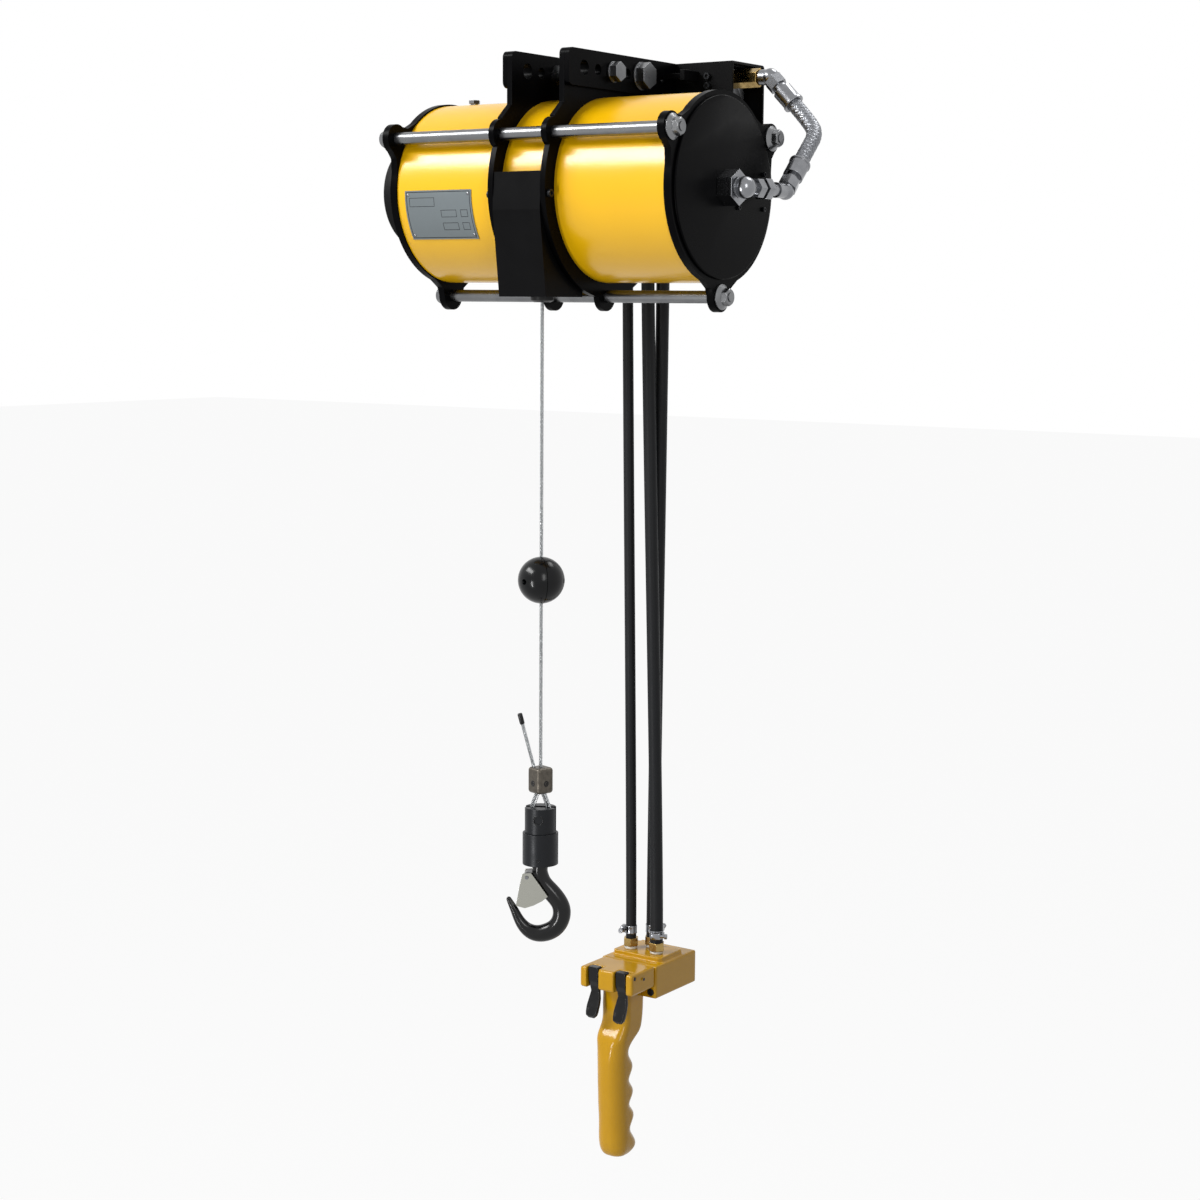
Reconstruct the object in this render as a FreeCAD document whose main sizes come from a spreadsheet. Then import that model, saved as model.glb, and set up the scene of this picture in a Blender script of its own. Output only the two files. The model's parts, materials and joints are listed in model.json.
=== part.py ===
import FreeCAD, Part
import math
import os
import Sketcher
from FreeCAD import Placement, Rotation, Vector

# Air-powered tool balancer: a cylinder with a rope reel on a ball screw, hung from two bars,
# with a hook on a wire rope and a control handle on three hoses.
# Lengths are millimetres. Places are given from the reel's axis: X along it, Y back, Z up.

DIMENSIONS = {
    # where the reel's axis lies, from the front suspension bore
    "axis_y": 55, "axis_z": -130,
    # end plates, shells and tie rods
    "half_length": 190, "plate_t": 8.5, "plate_r": 104, "raised_r": 98.5, "raised_t": 3,
    "lug_r": 16.5, "lug_tip": 117, "lug_waist": 107.5, "lug_waist_half": 20, "lug_foot": 98, "lug_foot_half": 34,
    "rod_circle": 117, "rod_r": 5, "rod_hole_r": 5.1, "rod_reach": 203,
    "tube_r": 7, "shell_r": 102, "bore_r": 95,
    "nut_flat": 17, "nut_t": 12, "flange_r": 14,
    # the two ring plates and the bars on them
    "ring_in": 32, "ring_t": 7, "ring_r": 119, "web_half": 84, "web_foot": 88, "web_top": 150,
    "web_step": 92, "shoulder": 101, "shoulder_z": 77, "bar_t": 6, "bar_tall": 40, "bar_back": 129,
    "hole_z": 130, "pin_hole_r": 8.25, "side_hole_r": 6, "hole_pitch": 55, "side_pitch": 29,
    "stay_hole_y": 99, "stay_hole_r": 3.3,
    # rope, reel and ball screw
    "rope_r": 2, "groove_r": 2.2, "coil_r": 70, "lead": 20, "barrel_r": 69, "barrel_in": 61,
    "reel_left": -92, "reel_right": 58, "rim_r": 78, "rim_t": 4, "web_t": 8,
    "wound_turns": 4.25, "groove_turns": 5.25, "screw_r": 12.5, "run_gap": 0.05,
    "journal_r": 10, "screw_left": -214, "screw_right": 172,
    # rope guard
    "guard_t": 2.5, "guard_top_y": -117, "guard_top": 17, "guard_bend_y": -119, "guard_bend": -24,
    "guard_foot_y": -107, "guard_foot": -118, "guard_back_y": -38,
    # valve box
    "box_left": -60, "box_right": 121, "box_back": 200, "box_low": 60, "box_t": 3,
    "port_z": 133, "port_y": 165,
    # swivel and braided hose
    "swivel_x": 218, "ball_r": 12, "inlet_hex": 18.5, "elbow_y": 86, "braid_r": 9,
    # hook group: rope centre line and levels
    "stop_ball_z": -435, "stop_ball_r": 26.5, "seam_turn": -38, "clamp_top": -650, "clamp_low": -680,
    "pin_z": -709, "pin_r": 4.5, "clevis_top": -696.5, "clevis_r": 18, "cap_top": -726,
    "cap_low": -763, "cap_r": 20.5, "bowl_z": -820, "hook_turn": 28,
    # handle
    "head_left": -49.5, "head_right": 31.5, "head_front": 77, "head_mid": 92, "head_back": 127,
    "head_top": -929, "head_low": -955, "housing_back": 218, "housing_top": -929, "housing_low": -970,
    "pad_top": -923, "port_left": -28, "port_right": 10, "port_mid": -9, "port_front_y": 160,
    "port_rear_y": 180, "slot_w": 18, "lever_w": 15, "lever_left": -29, "lever_right": 11,
    "pivot_y": 84, "pivot_z": -934, "lever_pin_r": 2, "press_z": -948,
    "hose_top": 62, "hose_low": -909, "thin_hose_r": 6.5, "thick_hose_r": 8,
}

doc = FreeCAD.newDocument("AirBalancer")
sheet = doc.addObject("Spreadsheet::Sheet", "dims")
for row, (alias, number) in enumerate(DIMENSIONS.items(), start=1):
    sheet.set(f"A{row}", alias)
    sheet.set(f"B{row}", str(number))
    sheet.setAlias(f"B{row}", alias)
doc.recompute()

parts = {}
drillings = {}


def value(term):
    """The number of a plain number or of an expression over the sheet."""
    return float(sheet.evalExpression(term)) if isinstance(term, str) else float(term)


def bind(thing, **terms):
    """Sets properties, those given as expressions by binding them to the sheet."""
    for name, term in terms.items():
        if isinstance(term, str):
            setattr(thing, name, value(term))
            thing.setExpression(name, term)
        else:
            setattr(thing, name, term)
    return thing


def place(thing, x=0, y=0, z=0, turn=None):
    """Puts a thing at a point given from the reel's axis."""
    spot = (f"{x}", f"dims.axis_y + ({y})", f"dims.axis_z + ({z})")
    thing.Placement = Placement(Vector(*(value(term) for term in spot)), turn or Rotation())
    for axis, term in zip("xyz", spot):
        thing.setExpression(f"Placement.Base.{axis}", term)
    return thing


def keep(label, thing):
    """Names a finished sub-part."""
    thing.Label = label
    parts[label] = thing
    return thing


def draw(sketch, loops):
    """Draws circles (x, y, r) and closed polygons [(x, y), ...], each point bound to the sheet."""
    for loop in loops:
        first = sketch.GeometryCount
        if isinstance(loop, tuple):
            x, y, r = loop
            sketch.addGeometry(Part.Circle(Vector(value(x), value(y), 0), Vector(0, 0, 1), value(r)))
            pin_down(sketch, "DistanceX", (-1, 1, first, 3), x)
            pin_down(sketch, "DistanceY", (-1, 1, first, 3), y)
            pin_down(sketch, "Radius", (first,), r)
            continue
        points = [Vector(value(x), value(y), 0) for x, y in loop]
        count = len(points)
        for i in range(count):
            sketch.addGeometry(Part.LineSegment(points[i], points[(i + 1) % count]))
        for i in range(count):
            sketch.addConstraint(Sketcher.Constraint("Coincident", first + i, 2, first + (i + 1) % count, 1))
        for i, (x, y) in enumerate(loop):
            pin_down(sketch, "DistanceX", (-1, 1, first + i, 1), x)
            pin_down(sketch, "DistanceY", (-1, 1, first + i, 1), y)


def pin_down(sketch, kind, where, term):
    """One dimension of a sketch, bound to the sheet where it is an expression."""
    index = sketch.addConstraint(Sketcher.Constraint(kind, *where, value(term)))
    if isinstance(term, str):
        sketch.setExpression(f"Constraints[{index}]", term)


class Piece:
    """A PartDesign body that is built feature by feature."""

    def __init__(self, label):
        self.body = keep(label, doc.addObject("PartDesign::Body", label))

    def origin(self, role):
        return next(f for f in self.body.Origin.OriginFeatures if f.Role == role)

    def sketch(self, plane, loops, lift=0, turn=0):
        sketch = self.body.newObject("Sketcher::SketchObject", "outline")
        sketch.AttachmentSupport = (self.origin(plane), [""])
        sketch.MapMode = "FlatFace"
        sketch.AttachmentOffset = Placement(Vector(0, 0, value(lift)), Rotation(Vector(0, 0, 1), turn))
        if isinstance(lift, str):
            sketch.setExpression("AttachmentOffset.Base.z", lift)
        draw(sketch, loops)
        return sketch

    def pad(self, plane, loops, length, lift=0, turn=0, both=False):
        pad = self.body.newObject("PartDesign::Pad", "pad")
        pad.Profile = self.sketch(plane, loops, lift, turn)
        pad.Midplane = both
        bind(pad, Length=length)
        doc.recompute()
        return pad

    def pocket(self, plane, loops, depth=None, lift=0, turn=0):
        """Cuts half the depth to each side of the sketch, or right through both ways."""
        pocket = self.body.newObject("PartDesign::Pocket", "pocket")
        pocket.Profile = self.sketch(plane, loops, lift, turn)
        pocket.Midplane = True
        if depth is None:
            pocket.Type = "ThroughAll"
        else:
            bind(pocket, Length=depth)
        before = self.body.Shape.Volume
        doc.recompute()
        if self.body.Shape.Volume > before - 1e-6:
            raise RuntimeError(f"a pocket of {self.body.Label} cuts nothing")
        return pocket

    def turned(self, plane, corners, axis):
        turned = self.body.newObject("PartDesign::Revolution", "turned")
        turned.Profile = self.sketch(plane, [corners])
        turned.ReferenceAxis = (self.origin(axis), [""])
        turned.Angle = 360
        doc.recompute()
        return turned

    def repeat(self, features, axis, count):
        pattern = self.body.newObject("PartDesign::PolarPattern", "pattern")
        pattern.Originals = features
        pattern.Axis = (self.origin(axis), [""])
        pattern.Angle = 360
        pattern.Occurrences = count
        self.body.Tip = pattern
        doc.recompute()

    def round(self, radius, chosen):
        """Rounds the edges that the test picks."""
        base = self.body.Tip
        names = [f"Edge{i}" for i, e in enumerate(base.Shape.Edges, start=1) if chosen(e)]
        fillet = self.body.newObject("PartDesign::Fillet", "fillet")
        fillet.Base = (base, names)
        fillet.Radius = radius
        self.body.Tip = fillet
        doc.recompute()
        return self

    def at(self, x=0, y=0, z=0, turn=None):
        place(self.body, x, y, z, turn)
        return self


def along(edge, direction):
    """True for a straight edge that runs in the given direction."""
    if edge.Curve.TypeId != "Part::GeomLine":
        return False
    return abs(abs(edge.tangentAt(edge.FirstParameter).dot(direction)) - 1) < 1e-6


ALONG_X = Vector(1, 0, 0)
ALONG_Y = Vector(0, 1, 0)
ALONG_Z = Vector(0, 0, 1)
TO_X = Rotation(ALONG_Y, 90)
TO_Y = Rotation(ALONG_X, -90)


def cylinder(r, length, x=0, y=0, z=0, turn=None):
    rod = bind(doc.addObject("Part::Cylinder", "rod"), Radius=r, Height=length)
    return place(rod, x, y, z, turn)


def box(wide, deep, tall, x=0, y=0, z=0):
    """A block with its low corner at the given point."""
    return place(bind(doc.addObject("Part::Box", "block"), Length=wide, Width=deep, Height=tall), x, y, z)


def hexagon(flats, length, x=0, y=0, z=0, turn=None):
    """A hexagonal bar, given by the distance across its flats."""
    bar = bind(doc.addObject("Part::Prism", "hex"), Polygon=6, Height=length)
    bar.Circumradius = value(flats) / math.sqrt(3)
    bar.setExpression("Circumradius", f"({flats}) / sqrt(3)")
    return place(bar, x, y, z, turn)


def cut(base, *tools):
    result = doc.addObject("Part::Cut", "cut")
    result.Base = base
    result.Tool = tools[0] if len(tools) == 1 else fuse(*tools)
    return result


def fuse(*shapes):
    result = doc.addObject("Part::MultiFuse", "fused")
    result.Shapes = list(shapes)
    return result


def group(*shapes):
    """Separate solids that share one node."""
    result = doc.addObject("Part::Compound", "group")
    result.Links = list(shapes)
    return result


def tube(outer, inner, length, x=0, y=0, z=0, turn=None):
    return cut(cylinder(outer, length, x, y, z, turn), cylinder(inner, length, x, y, z, turn))


def rod_places():
    """The three tie rods: front top, back top and bottom, as (y, z) expressions."""
    return [(f"dims.rod_circle * cos({angle})", f"dims.rod_circle * sin({angle})") for angle in (150, 30, 270)]


def lugs(piece, length):
    """Three lugs, each with its tie rod hole, spaced evenly round the axis."""
    foot = [("dims.rod_circle - 40", "-dims.lug_foot_half"), ("dims.lug_foot", "-dims.lug_foot_half"),
            ("dims.lug_waist", "-dims.lug_waist_half"), ("dims.lug_tip", "-dims.lug_r + 0.2"),
            ("dims.lug_tip", "dims.lug_r - 0.2"), ("dims.lug_waist", "dims.lug_waist_half"),
            ("dims.lug_foot", "dims.lug_foot_half"), ("dims.rod_circle - 40", "dims.lug_foot_half")]
    eye = ("dims.rod_circle", 0, "dims.lug_r")
    features = [piece.pad("YZ_Plane", [foot], length, turn=30), piece.pad("YZ_Plane", [eye], length, turn=30)]
    return features


def end_plate(label, facing):
    """A cast end plate: disc, raised face, three lugs and a hub for the ball screw."""
    plate = Piece(label)
    plate.pad("YZ_Plane", [(0, 0, "dims.plate_r")], "dims.plate_t")
    features = lugs(plate, "dims.plate_t")
    hole = plate.pocket("YZ_Plane", [("dims.rod_circle", 0, "dims.rod_hole_r")], turn=30)
    plate.repeat(features + [hole], "X_Axis", 3)
    plate.pad("YZ_Plane", [(0, 0, "dims.raised_r")], "dims.plate_t + dims.raised_t")
    top = value("dims.plate_t + dims.raised_t")
    plate.round(1.5, lambda e: e.Curve.TypeId == "Part::GeomCircle" and e.BoundBox.XMin > top - 0.1)
    plate.pad("YZ_Plane", [(0, 0, 26)], 16, lift=-16)
    plate.at(f"{facing} * (dims.half_length - dims.plate_t)", turn=Rotation(ALONG_Z, 0 if facing > 0 else 180))
    return plate


def end_plates():
    right = end_plate("right_end_plate", 1)
    right.pocket("YZ_Plane", [(0, 0, "dims.journal_r + dims.run_gap")], 14, lift=-16)
    right.pocket("YZ_Plane", [(0, 0, 6)])
    right.pocket("XY_Plane", [(-5, 0, 2.5)])
    left = end_plate("left_end_plate", -1)
    left.pocket("YZ_Plane", [(0, 0, "dims.journal_r + dims.run_gap")])


def shells():
    """Left cover tube, reel housing with its rope window, and the air cylinder on the right."""
    outer_span = "dims.half_length - dims.plate_t - dims.ring_in - dims.ring_t"
    ring_out = "dims.ring_in + dims.ring_t"
    keep("left_shell", tube("dims.shell_r", "dims.bore_r", outer_span, f"-({ring_out}) - ({outer_span})", turn=TO_X))
    keep("right_shell", tube("dims.shell_r", "dims.bore_r", outer_span, ring_out, turn=TO_X))
    housing = tube("dims.shell_r", "dims.bore_r", "2 * dims.ring_in", "-dims.ring_in", turn=TO_X)
    window = box(44, 60, 96, x=-22, y=-104, z=-100)
    keep("reel_housing", cut(housing, window))


def ring_plate(label, x):
    """A ring clamped between two shells, with three lugs and a tall web on top."""
    ring = Piece(label)
    ring.pad("YZ_Plane", [(0, 0, "dims.ring_r")], "dims.ring_t")
    web = [("-dims.web_half", "dims.web_top"), ("-dims.web_half", "dims.web_step"),
           ("-dims.shoulder", "dims.shoulder_z"), ("-dims.shoulder", 40), ("dims.shoulder", 40),
           ("dims.shoulder", "dims.shoulder_z"), ("dims.web_half", "dims.web_step"),
           ("dims.web_half", "dims.web_top")]
    ring.pad("YZ_Plane", [web], "dims.ring_t")
    features = lugs(ring, "dims.ring_t")
    hole = ring.pocket("YZ_Plane", [("dims.rod_circle", 0, "dims.rod_hole_r")], turn=30)
    ring.repeat(features + [hole], "X_Axis", 3)
    ring.pocket("YZ_Plane", [(0, 0, "dims.bore_r")])
    ring.pocket("YZ_Plane", [(y, "dims.hole_z", r) for y, r in hanger_holes()[:5]])
    top = value("dims.web_top")
    ring.round(7, lambda e: along(e, ALONG_X) and e.BoundBox.ZMin > top - 1)
    ring.at(x)
    return ring


def hanger_holes():
    """The row of holes in the bars, front to back, as (y, radius)."""
    return [("-dims.hole_pitch", "dims.pin_hole_r"), ("-dims.side_pitch", "dims.side_hole_r"),
            (0, "dims.side_hole_r"), ("dims.side_pitch", "dims.side_hole_r"),
            ("dims.hole_pitch", "dims.pin_hole_r"), ("dims.stay_hole_y", "dims.stay_hole_r")]


def hangers():
    ring_plate("left_ring_plate", "-dims.ring_in - dims.ring_t")
    ring_plate("right_ring_plate", "dims.ring_in")
    bars = []
    for x in ("-dims.ring_in - dims.ring_t - dims.bar_t", "dims.ring_in + dims.ring_t"):
        bar = Piece("bar")
        outline = [("-dims.web_half", "dims.web_top"), ("-dims.web_half", "dims.web_top - dims.bar_tall"),
                   ("dims.bar_back", "dims.web_top - dims.bar_tall"), ("dims.bar_back", "dims.web_top")]
        bar.pad("YZ_Plane", [outline], "dims.bar_t")
        bar.pocket("YZ_Plane", [(y, "dims.hole_z", r) for y, r in hanger_holes()])
        bar.round(7, lambda e: along(e, ALONG_X) and e.BoundBox.YMax < -value("dims.web_half") + 1)
        bar.at(x)
        bars.append(parts.pop("bar"))
    keep("hanger_bars", group(*bars))


def flange_nut(face, out):
    """A hexagon nut with a wide conical flange, seated at a point and facing outwards."""
    across, tall, flange = value("dims.nut_flat"), value("dims.nut_t"), value("dims.flange_r")
    corner = across / math.sqrt(3)
    crown = solid_rod(face, out, corner, tall - 1.5).fuse(
        Part.makeCone(corner, corner - 1.7, 1.5, face + out * (tall - 1.5), out))
    foot = solid_rod(face, out, flange, 1.8).fuse(
        Part.makeCone(flange, corner - 0.3, 3.4, face + out * 1.8, out))
    nut = hex_rod(face, out, across, tall).common(crown).fuse(foot)
    return nut.cut(solid_rod(face - out, out, value("dims.rod_hole_r"), tall + 2))


def tie_rods():
    """Three rods, nine spacer tubes between the plates, and a flange nut at each end."""
    rods, tubes, nuts = [], [], []
    ring_out = "dims.ring_in + dims.ring_t"
    plate_in = "dims.half_length - dims.plate_t"
    for y, z in rod_places():
        rods.append(cylinder("dims.rod_r", "2 * dims.rod_reach", "-dims.rod_reach", y, z, TO_X))
        spans = [(f"-({plate_in})", f"{plate_in} - ({ring_out})"), ("-dims.ring_in", "2 * dims.ring_in"),
                 (ring_out, f"{plate_in} - ({ring_out})")]
        for x, length in spans:
            tubes.append(tube("dims.tube_r", "dims.rod_hole_r", length, x, y, z, TO_X))
        for side in (1, -1):
            nuts.append(flange_nut(from_axis(f"{side} * dims.half_length", y, z), ALONG_X * side))
    keep("tie_rods", group(*rods))
    keep("spacer_tubes", group(*tubes))
    feature("tie_rod_nuts", Part.makeCompound(nuts))


def rope_guard():
    """The folded sheet guard in front of the reel housing, with a nylon guide for the rope."""
    guard = Piece("rope_guard")
    front = [("dims.guard_top_y", "dims.guard_top"), ("dims.guard_bend_y", "dims.guard_bend"),
             ("dims.guard_foot_y", "dims.guard_foot"), ("dims.guard_back_y", "dims.guard_foot"),
             ("dims.guard_back_y", -84), (-84, -50), (-98, "dims.guard_top")]
    inner = [("dims.guard_top_y + dims.guard_t", "dims.guard_top + 5"),
             ("dims.guard_bend_y + dims.guard_t", "dims.guard_bend"),
             ("dims.guard_foot_y + dims.guard_t", "dims.guard_foot + dims.guard_t"),
             ("dims.guard_back_y + 20", "dims.guard_foot + dims.guard_t"),
             ("dims.guard_back_y + 20", "dims.guard_top + 5")]
    guard.pad("YZ_Plane", [front], "2 * dims.ring_in", both=True)
    guard.pocket("YZ_Plane", [inner], "2 * dims.ring_in - 2 * dims.guard_t")
    guard.pocket("YZ_Plane", [(0, 0, "dims.shell_r + 0.1")])
    guard.pocket("XY_Plane", [(0, "-dims.coil_r", 9)], 20, lift="dims.guard_foot")
    guard.at()
    guide = Piece("rope_guide")
    profile = [("dims.rope_r + 1.5", -6), (9, -6), (13, -4), (13, 0), (9, 0), (9, "dims.guard_t"),
               (12, "dims.guard_t"), (12, "dims.guard_t + 3"), ("dims.rope_r + 1.5", "dims.guard_t + 3")]
    guide.turned("XZ_Plane", profile, "Z_Axis")
    guide.at(0, "-dims.coil_r", "dims.guard_foot")


def ball_screw():
    """A fixed ball screw between the end plates, with its lock nut in the left cap."""
    screw = Piece("screw_shaft")
    span = [("dims.screw_left", 0), ("dims.screw_left", "dims.journal_r"),
            ("-dims.half_length + dims.plate_t + 16", "dims.journal_r"),
            ("-dims.half_length + dims.plate_t + 16", "dims.screw_r"),
            ("dims.half_length - dims.plate_t - 17", "dims.screw_r"),
            ("dims.half_length - dims.plate_t - 17", "dims.journal_r"),
            ("dims.screw_right", "dims.journal_r"), ("dims.screw_right", 0)]
    screw.turned("XY_Plane", span, "X_Axis")
    screw.at()
    nut_x = "-dims.half_length - dims.raised_t - 12"
    nut = hexagon(32, 12, nut_x, turn=TO_X)
    lock_nut = cut(nut, cylinder("dims.journal_r + dims.run_gap", 12, nut_x, turn=TO_X))
    keep("ball_screw", group(parts.pop("screw_shaft"), lock_nut))
    cap = Piece("screw_end_cap")
    shell = [(0, 46), (0, 52), (32.5, 52), (33.5, 60.5), (44, 60.5), (46, 58.5), (46, 0), (41.5, 0), (41.5, 46)]
    cap.turned("XY_Plane", shell, "X_Axis")
    cap.at("-dims.half_length - dims.raised_t", turn=Rotation(ALONG_Z, 180))


def reel():
    """The grooved reel, its ball nut and the rope wound on it."""
    blank = Piece("reel_blank")
    left, right, rim = "dims.reel_left", "dims.reel_right", "dims.rim_t"
    profile = [(left, "dims.barrel_in"), (left, "dims.rim_r"), (f"{left} + {rim}", "dims.rim_r"),
               (f"{left} + {rim}", "dims.barrel_r"), (f"{right} - {rim}", "dims.barrel_r"),
               (f"{right} - {rim}", "dims.rim_r"), (right, "dims.rim_r"), (right, "dims.screw_r + 1"),
               (f"{right} - dims.web_t", "dims.screw_r + 1"), (f"{right} - dims.web_t", "dims.barrel_in")]
    blank.turned("XY_Plane", profile, "X_Axis")
    blank.at()
    grooved = cut(parts.pop("reel_blank"), helix_rod("dims.groove_r", "dims.groove_turns", -value("dims.wound_turns")))
    keep("reel", grooved)
    keep("wound_rope", helix_rod("dims.rope_r", "dims.wound_turns", -value("dims.wound_turns")))
    nut = Piece("ball_nut")
    web = f"{right} - dims.web_t"
    bore = "dims.screw_r + dims.run_gap"
    nut.turned("XY_Plane", [(f"{web} - 46", bore), (f"{web} - 46", 23), (f"{web} - 9", 23), (f"{web} - 9", 34),
                            (web, 34), (web, bore)], "X_Axis")
    nut.at()


def helix_rod(r, turns, first_turn):
    """A round rod on a right-handed helix about the reel's axis, ending at the rope's exit at X = 0."""
    helix = bind(doc.addObject("Part::Helix", "helix"), Pitch="dims.lead", Radius="dims.coil_r")
    bind(helix, Height=f"dims.lead * ({turns})")
    section = bind(doc.addObject("Part::Circle", "section"), Radius=r)
    section.Placement = Placement(Vector(value("dims.coil_r"), 0, 0), Rotation(ALONG_X, 90))
    section.setExpression("Placement.Base.x", "dims.coil_r")
    sweep = doc.addObject("Part::Sweep", "coil")
    sweep.Sections = [section]
    sweep.Spine = (helix, [])
    sweep.Solid = True
    sweep.Frenet = True
    onto_axis = Rotation(Vector(0, 1, 0), Vector(0, 0, 1), Vector(1, 0, 0), "ZXY")
    start_angle = 180 + 360 * first_turn
    turn = Rotation(ALONG_X, start_angle) * onto_axis
    return place(sweep, f"{first_turn} * dims.lead", turn=turn)


def piston():
    """The piston, its seal and the thrust bearing that pushes the reel."""
    slide = Piece("piston")
    bore = "dims.screw_r + dims.run_gap"
    crown = "dims.bore_r - 0.5"
    slide.turned("XY_Plane", [(70, bore), (70, 40), (74, 40), (74, crown), (78, crown), (78, 90.5), (84, 90.5),
                              (84, crown), (90, crown), (90, 30), (96, 30), (96, bore)], "X_Axis")
    slide.at()
    seal = Piece("piston_seal")
    seal.turned("XY_Plane", [(78.5, 90.6), (78.5, "dims.bore_r - 0.08"), (83.5, "dims.bore_r - 0.08"), (83.5, 90.6)],
                "X_Axis")
    seal.at()
    keep("thrust_bearing", tube(38, 18, 11.5, 58.3, turn=TO_X))
    bumpers = [tube(24, "dims.screw_r + 0.2", 12, x, turn=TO_X) for x in (-164, 150)]
    keep("stop_bumpers", group(*bumpers))


def suspension_bolts():
    """Two bolts through both bars, each with a spacer sleeve between the ring plates."""
    solids = []
    bar_out = "dims.ring_in + dims.ring_t + dims.bar_t"
    for y, shank_r, flats, head_t in ((0, 5.9, 19, 11), ("dims.hole_pitch", 8.1, 26, 13)):
        shank = cylinder(shank_r, f"2 * ({bar_out}) + 16", f"-({bar_out}) - 16", y, "dims.hole_z", TO_X)
        head = hexagon(flats, head_t, bar_out, y, "dims.hole_z", TO_X)
        flange = cylinder(flats * 0.6, 2, bar_out, y, "dims.hole_z", TO_X)
        solids.append(fuse(shank, head, flange))
        nut_x = f"-({bar_out}) - 12"
        nut = hexagon(flats, 12, nut_x, y, "dims.hole_z", TO_X)
        solids.append(cut(nut, cylinder(shank_r + 0.1, 12, nut_x, y, "dims.hole_z", TO_X)))
        solids.append(tube(shank_r + 5, shank_r + 0.3, "2 * dims.ring_in", "-dims.ring_in", y, "dims.hole_z", TO_X))
    keep("suspension_bolts", group(*solids))


def valve_box():
    """A sheet box behind the bars with the control valves, open on its right side."""
    wide = "dims.box_right - dims.box_left"
    tall = "dims.web_top - dims.box_low"
    front = box(wide, "dims.box_t", tall, "dims.box_left", "dims.bar_back", "dims.box_low")
    keep("box_front_plate", front)
    cover = Piece("box_cover")
    front_y = "dims.bar_back + dims.box_t"
    fold = [(front_y, "dims.web_top"), (front_y, "dims.web_top - dims.box_t"),
            ("dims.box_back - dims.box_t", "dims.web_top - dims.box_t"), ("dims.box_back - dims.box_t", "dims.box_low"),
            ("dims.box_back", "dims.box_low"), ("dims.box_back", "dims.web_top")]
    cover.pad("YZ_Plane", [fold], wide)
    cover.round(4, lambda e: along(e, ALONG_X) and e.BoundBox.ZMin > value("dims.web_top") - 1
                and e.BoundBox.YMin > value("dims.box_back") - 1)
    cover.at("dims.box_left")
    manifold = box(150, 48, 40, -50, "dims.port_y - 24", "dims.port_z - 28")
    inlet = cylinder(6.6, 18, -50, "dims.port_y", "dims.port_z", TO_X)
    outlet = cylinder(5, 14, 86, "dims.port_y", "dims.port_z", TO_X)
    drops = [cylinder(4, 14, x, y, "dims.port_z - 28") for x, y, _ in hose_tops()]
    keep("valve_manifold", cut(manifold, inlet, outlet, *drops))
    fitting = fuse(hexagon(19, 36, 100, "dims.port_y", "dims.port_z", TO_X),
                   cylinder(4.9, 12, 88, "dims.port_y", "dims.port_z", TO_X),
                   cylinder(6, 8, 136, "dims.port_y", "dims.port_z", TO_X))
    keep("box_outlet_fitting", fitting)
    stay = box(24, 6, 6, "dims.ring_in + dims.ring_t + dims.bar_t", 108, 131)
    foot = box(6, 30, 12, "dims.ring_in + dims.ring_t + dims.bar_t + 24", "dims.bar_back - 30", 128)
    keep("box_stay", fuse(stay, foot))


def hose_tops():
    """Each control hose under the manifold: x, y and hose radius."""
    return [(-43, 160, "dims.thin_hose_r"), (-15, 160, "dims.thick_hose_r"), (-2, 178, "dims.thick_hose_r")]


def hose_feet():
    """Each control hose on the handle: x, y and hose radius."""
    return [("dims.port_left", "dims.port_front_y", "dims.thin_hose_r"),
            ("dims.port_right", "dims.port_front_y", "dims.thick_hose_r"),
            ("dims.port_mid", "dims.port_rear_y", "dims.thick_hose_r")]


def swivel():
    """The air inlet on the axis: hex stem, round swivel body and its side branch."""
    face = "dims.half_length + dims.raised_t"
    neck = f"{face} + dims.inlet_hex"
    stem = fuse(hexagon(34, "dims.inlet_hex", face, turn=TO_X), cylinder(5.9, 12, f"{face} - 12", turn=TO_X),
                cylinder(10.5, 2.5, neck, turn=TO_X))
    ball = bind(doc.addObject("Part::Sphere", "ball"), Radius="dims.ball_r")
    place(ball, "dims.swivel_x")
    nose = cylinder(7, 10, "dims.swivel_x", "dims.ball_r - 4", turn=TO_Y)
    keep("swivel_body", cut(fuse(ball, nose), cylinder(30, 12, f"{neck} - 9.5", turn=TO_X)))
    start = "dims.ball_r + 6"
    union = fuse(hexagon(20, 12, "dims.swivel_x", start, 0, TO_Y),
                 cylinder(7, 34, "dims.swivel_x", f"{start} + 12", 0, TO_Y),
                 hexagon(22, 13, "dims.swivel_x", f"{start} + 16", 0, TO_Y))
    keep("swivel_fittings", group(stem, union))


def unit(x, y, z):
    vector = Vector(x, y, z)
    vector.normalize()
    return vector


def from_axis(x, y, z):
    """A point given from the reel's axis, in the part's own frame."""
    return Vector(value(x), value(y) + value("dims.axis_y"), value(z) + value("dims.axis_z"))


def hose_ends():
    """Both ends of the braided hose: elbow centre and the direction the hose leaves it in."""
    lower = from_axis("dims.swivel_x", "dims.elbow_y", 0)
    upper = from_axis(150, "dims.port_y", "dims.port_z")
    return (lower, unit(0, 1, 1)), (upper, unit(1, 0, -1))


def solid_rod(start, direction, r, length):
    return Part.makeCylinder(r, length, start, direction)


def hex_rod(start, direction, flats, length):
    """A hexagonal bar from a point in any direction."""
    radius = flats / math.sqrt(3)
    corners = [Vector(radius * math.cos(math.radians(60 * i)), radius * math.sin(math.radians(60 * i)), 0)
               for i in range(7)]
    bar = Part.Face(Part.makePolygon(corners)).extrude(Vector(0, 0, length))
    bar.Placement = Placement(start, Rotation(ALONG_Z, direction))
    return bar


def feature(label, shape):
    """A sub-part whose shape comes from Part's own functions."""
    item = doc.addObject("Part::Feature", label)
    item.Shape = shape
    return keep(label, item)


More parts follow.
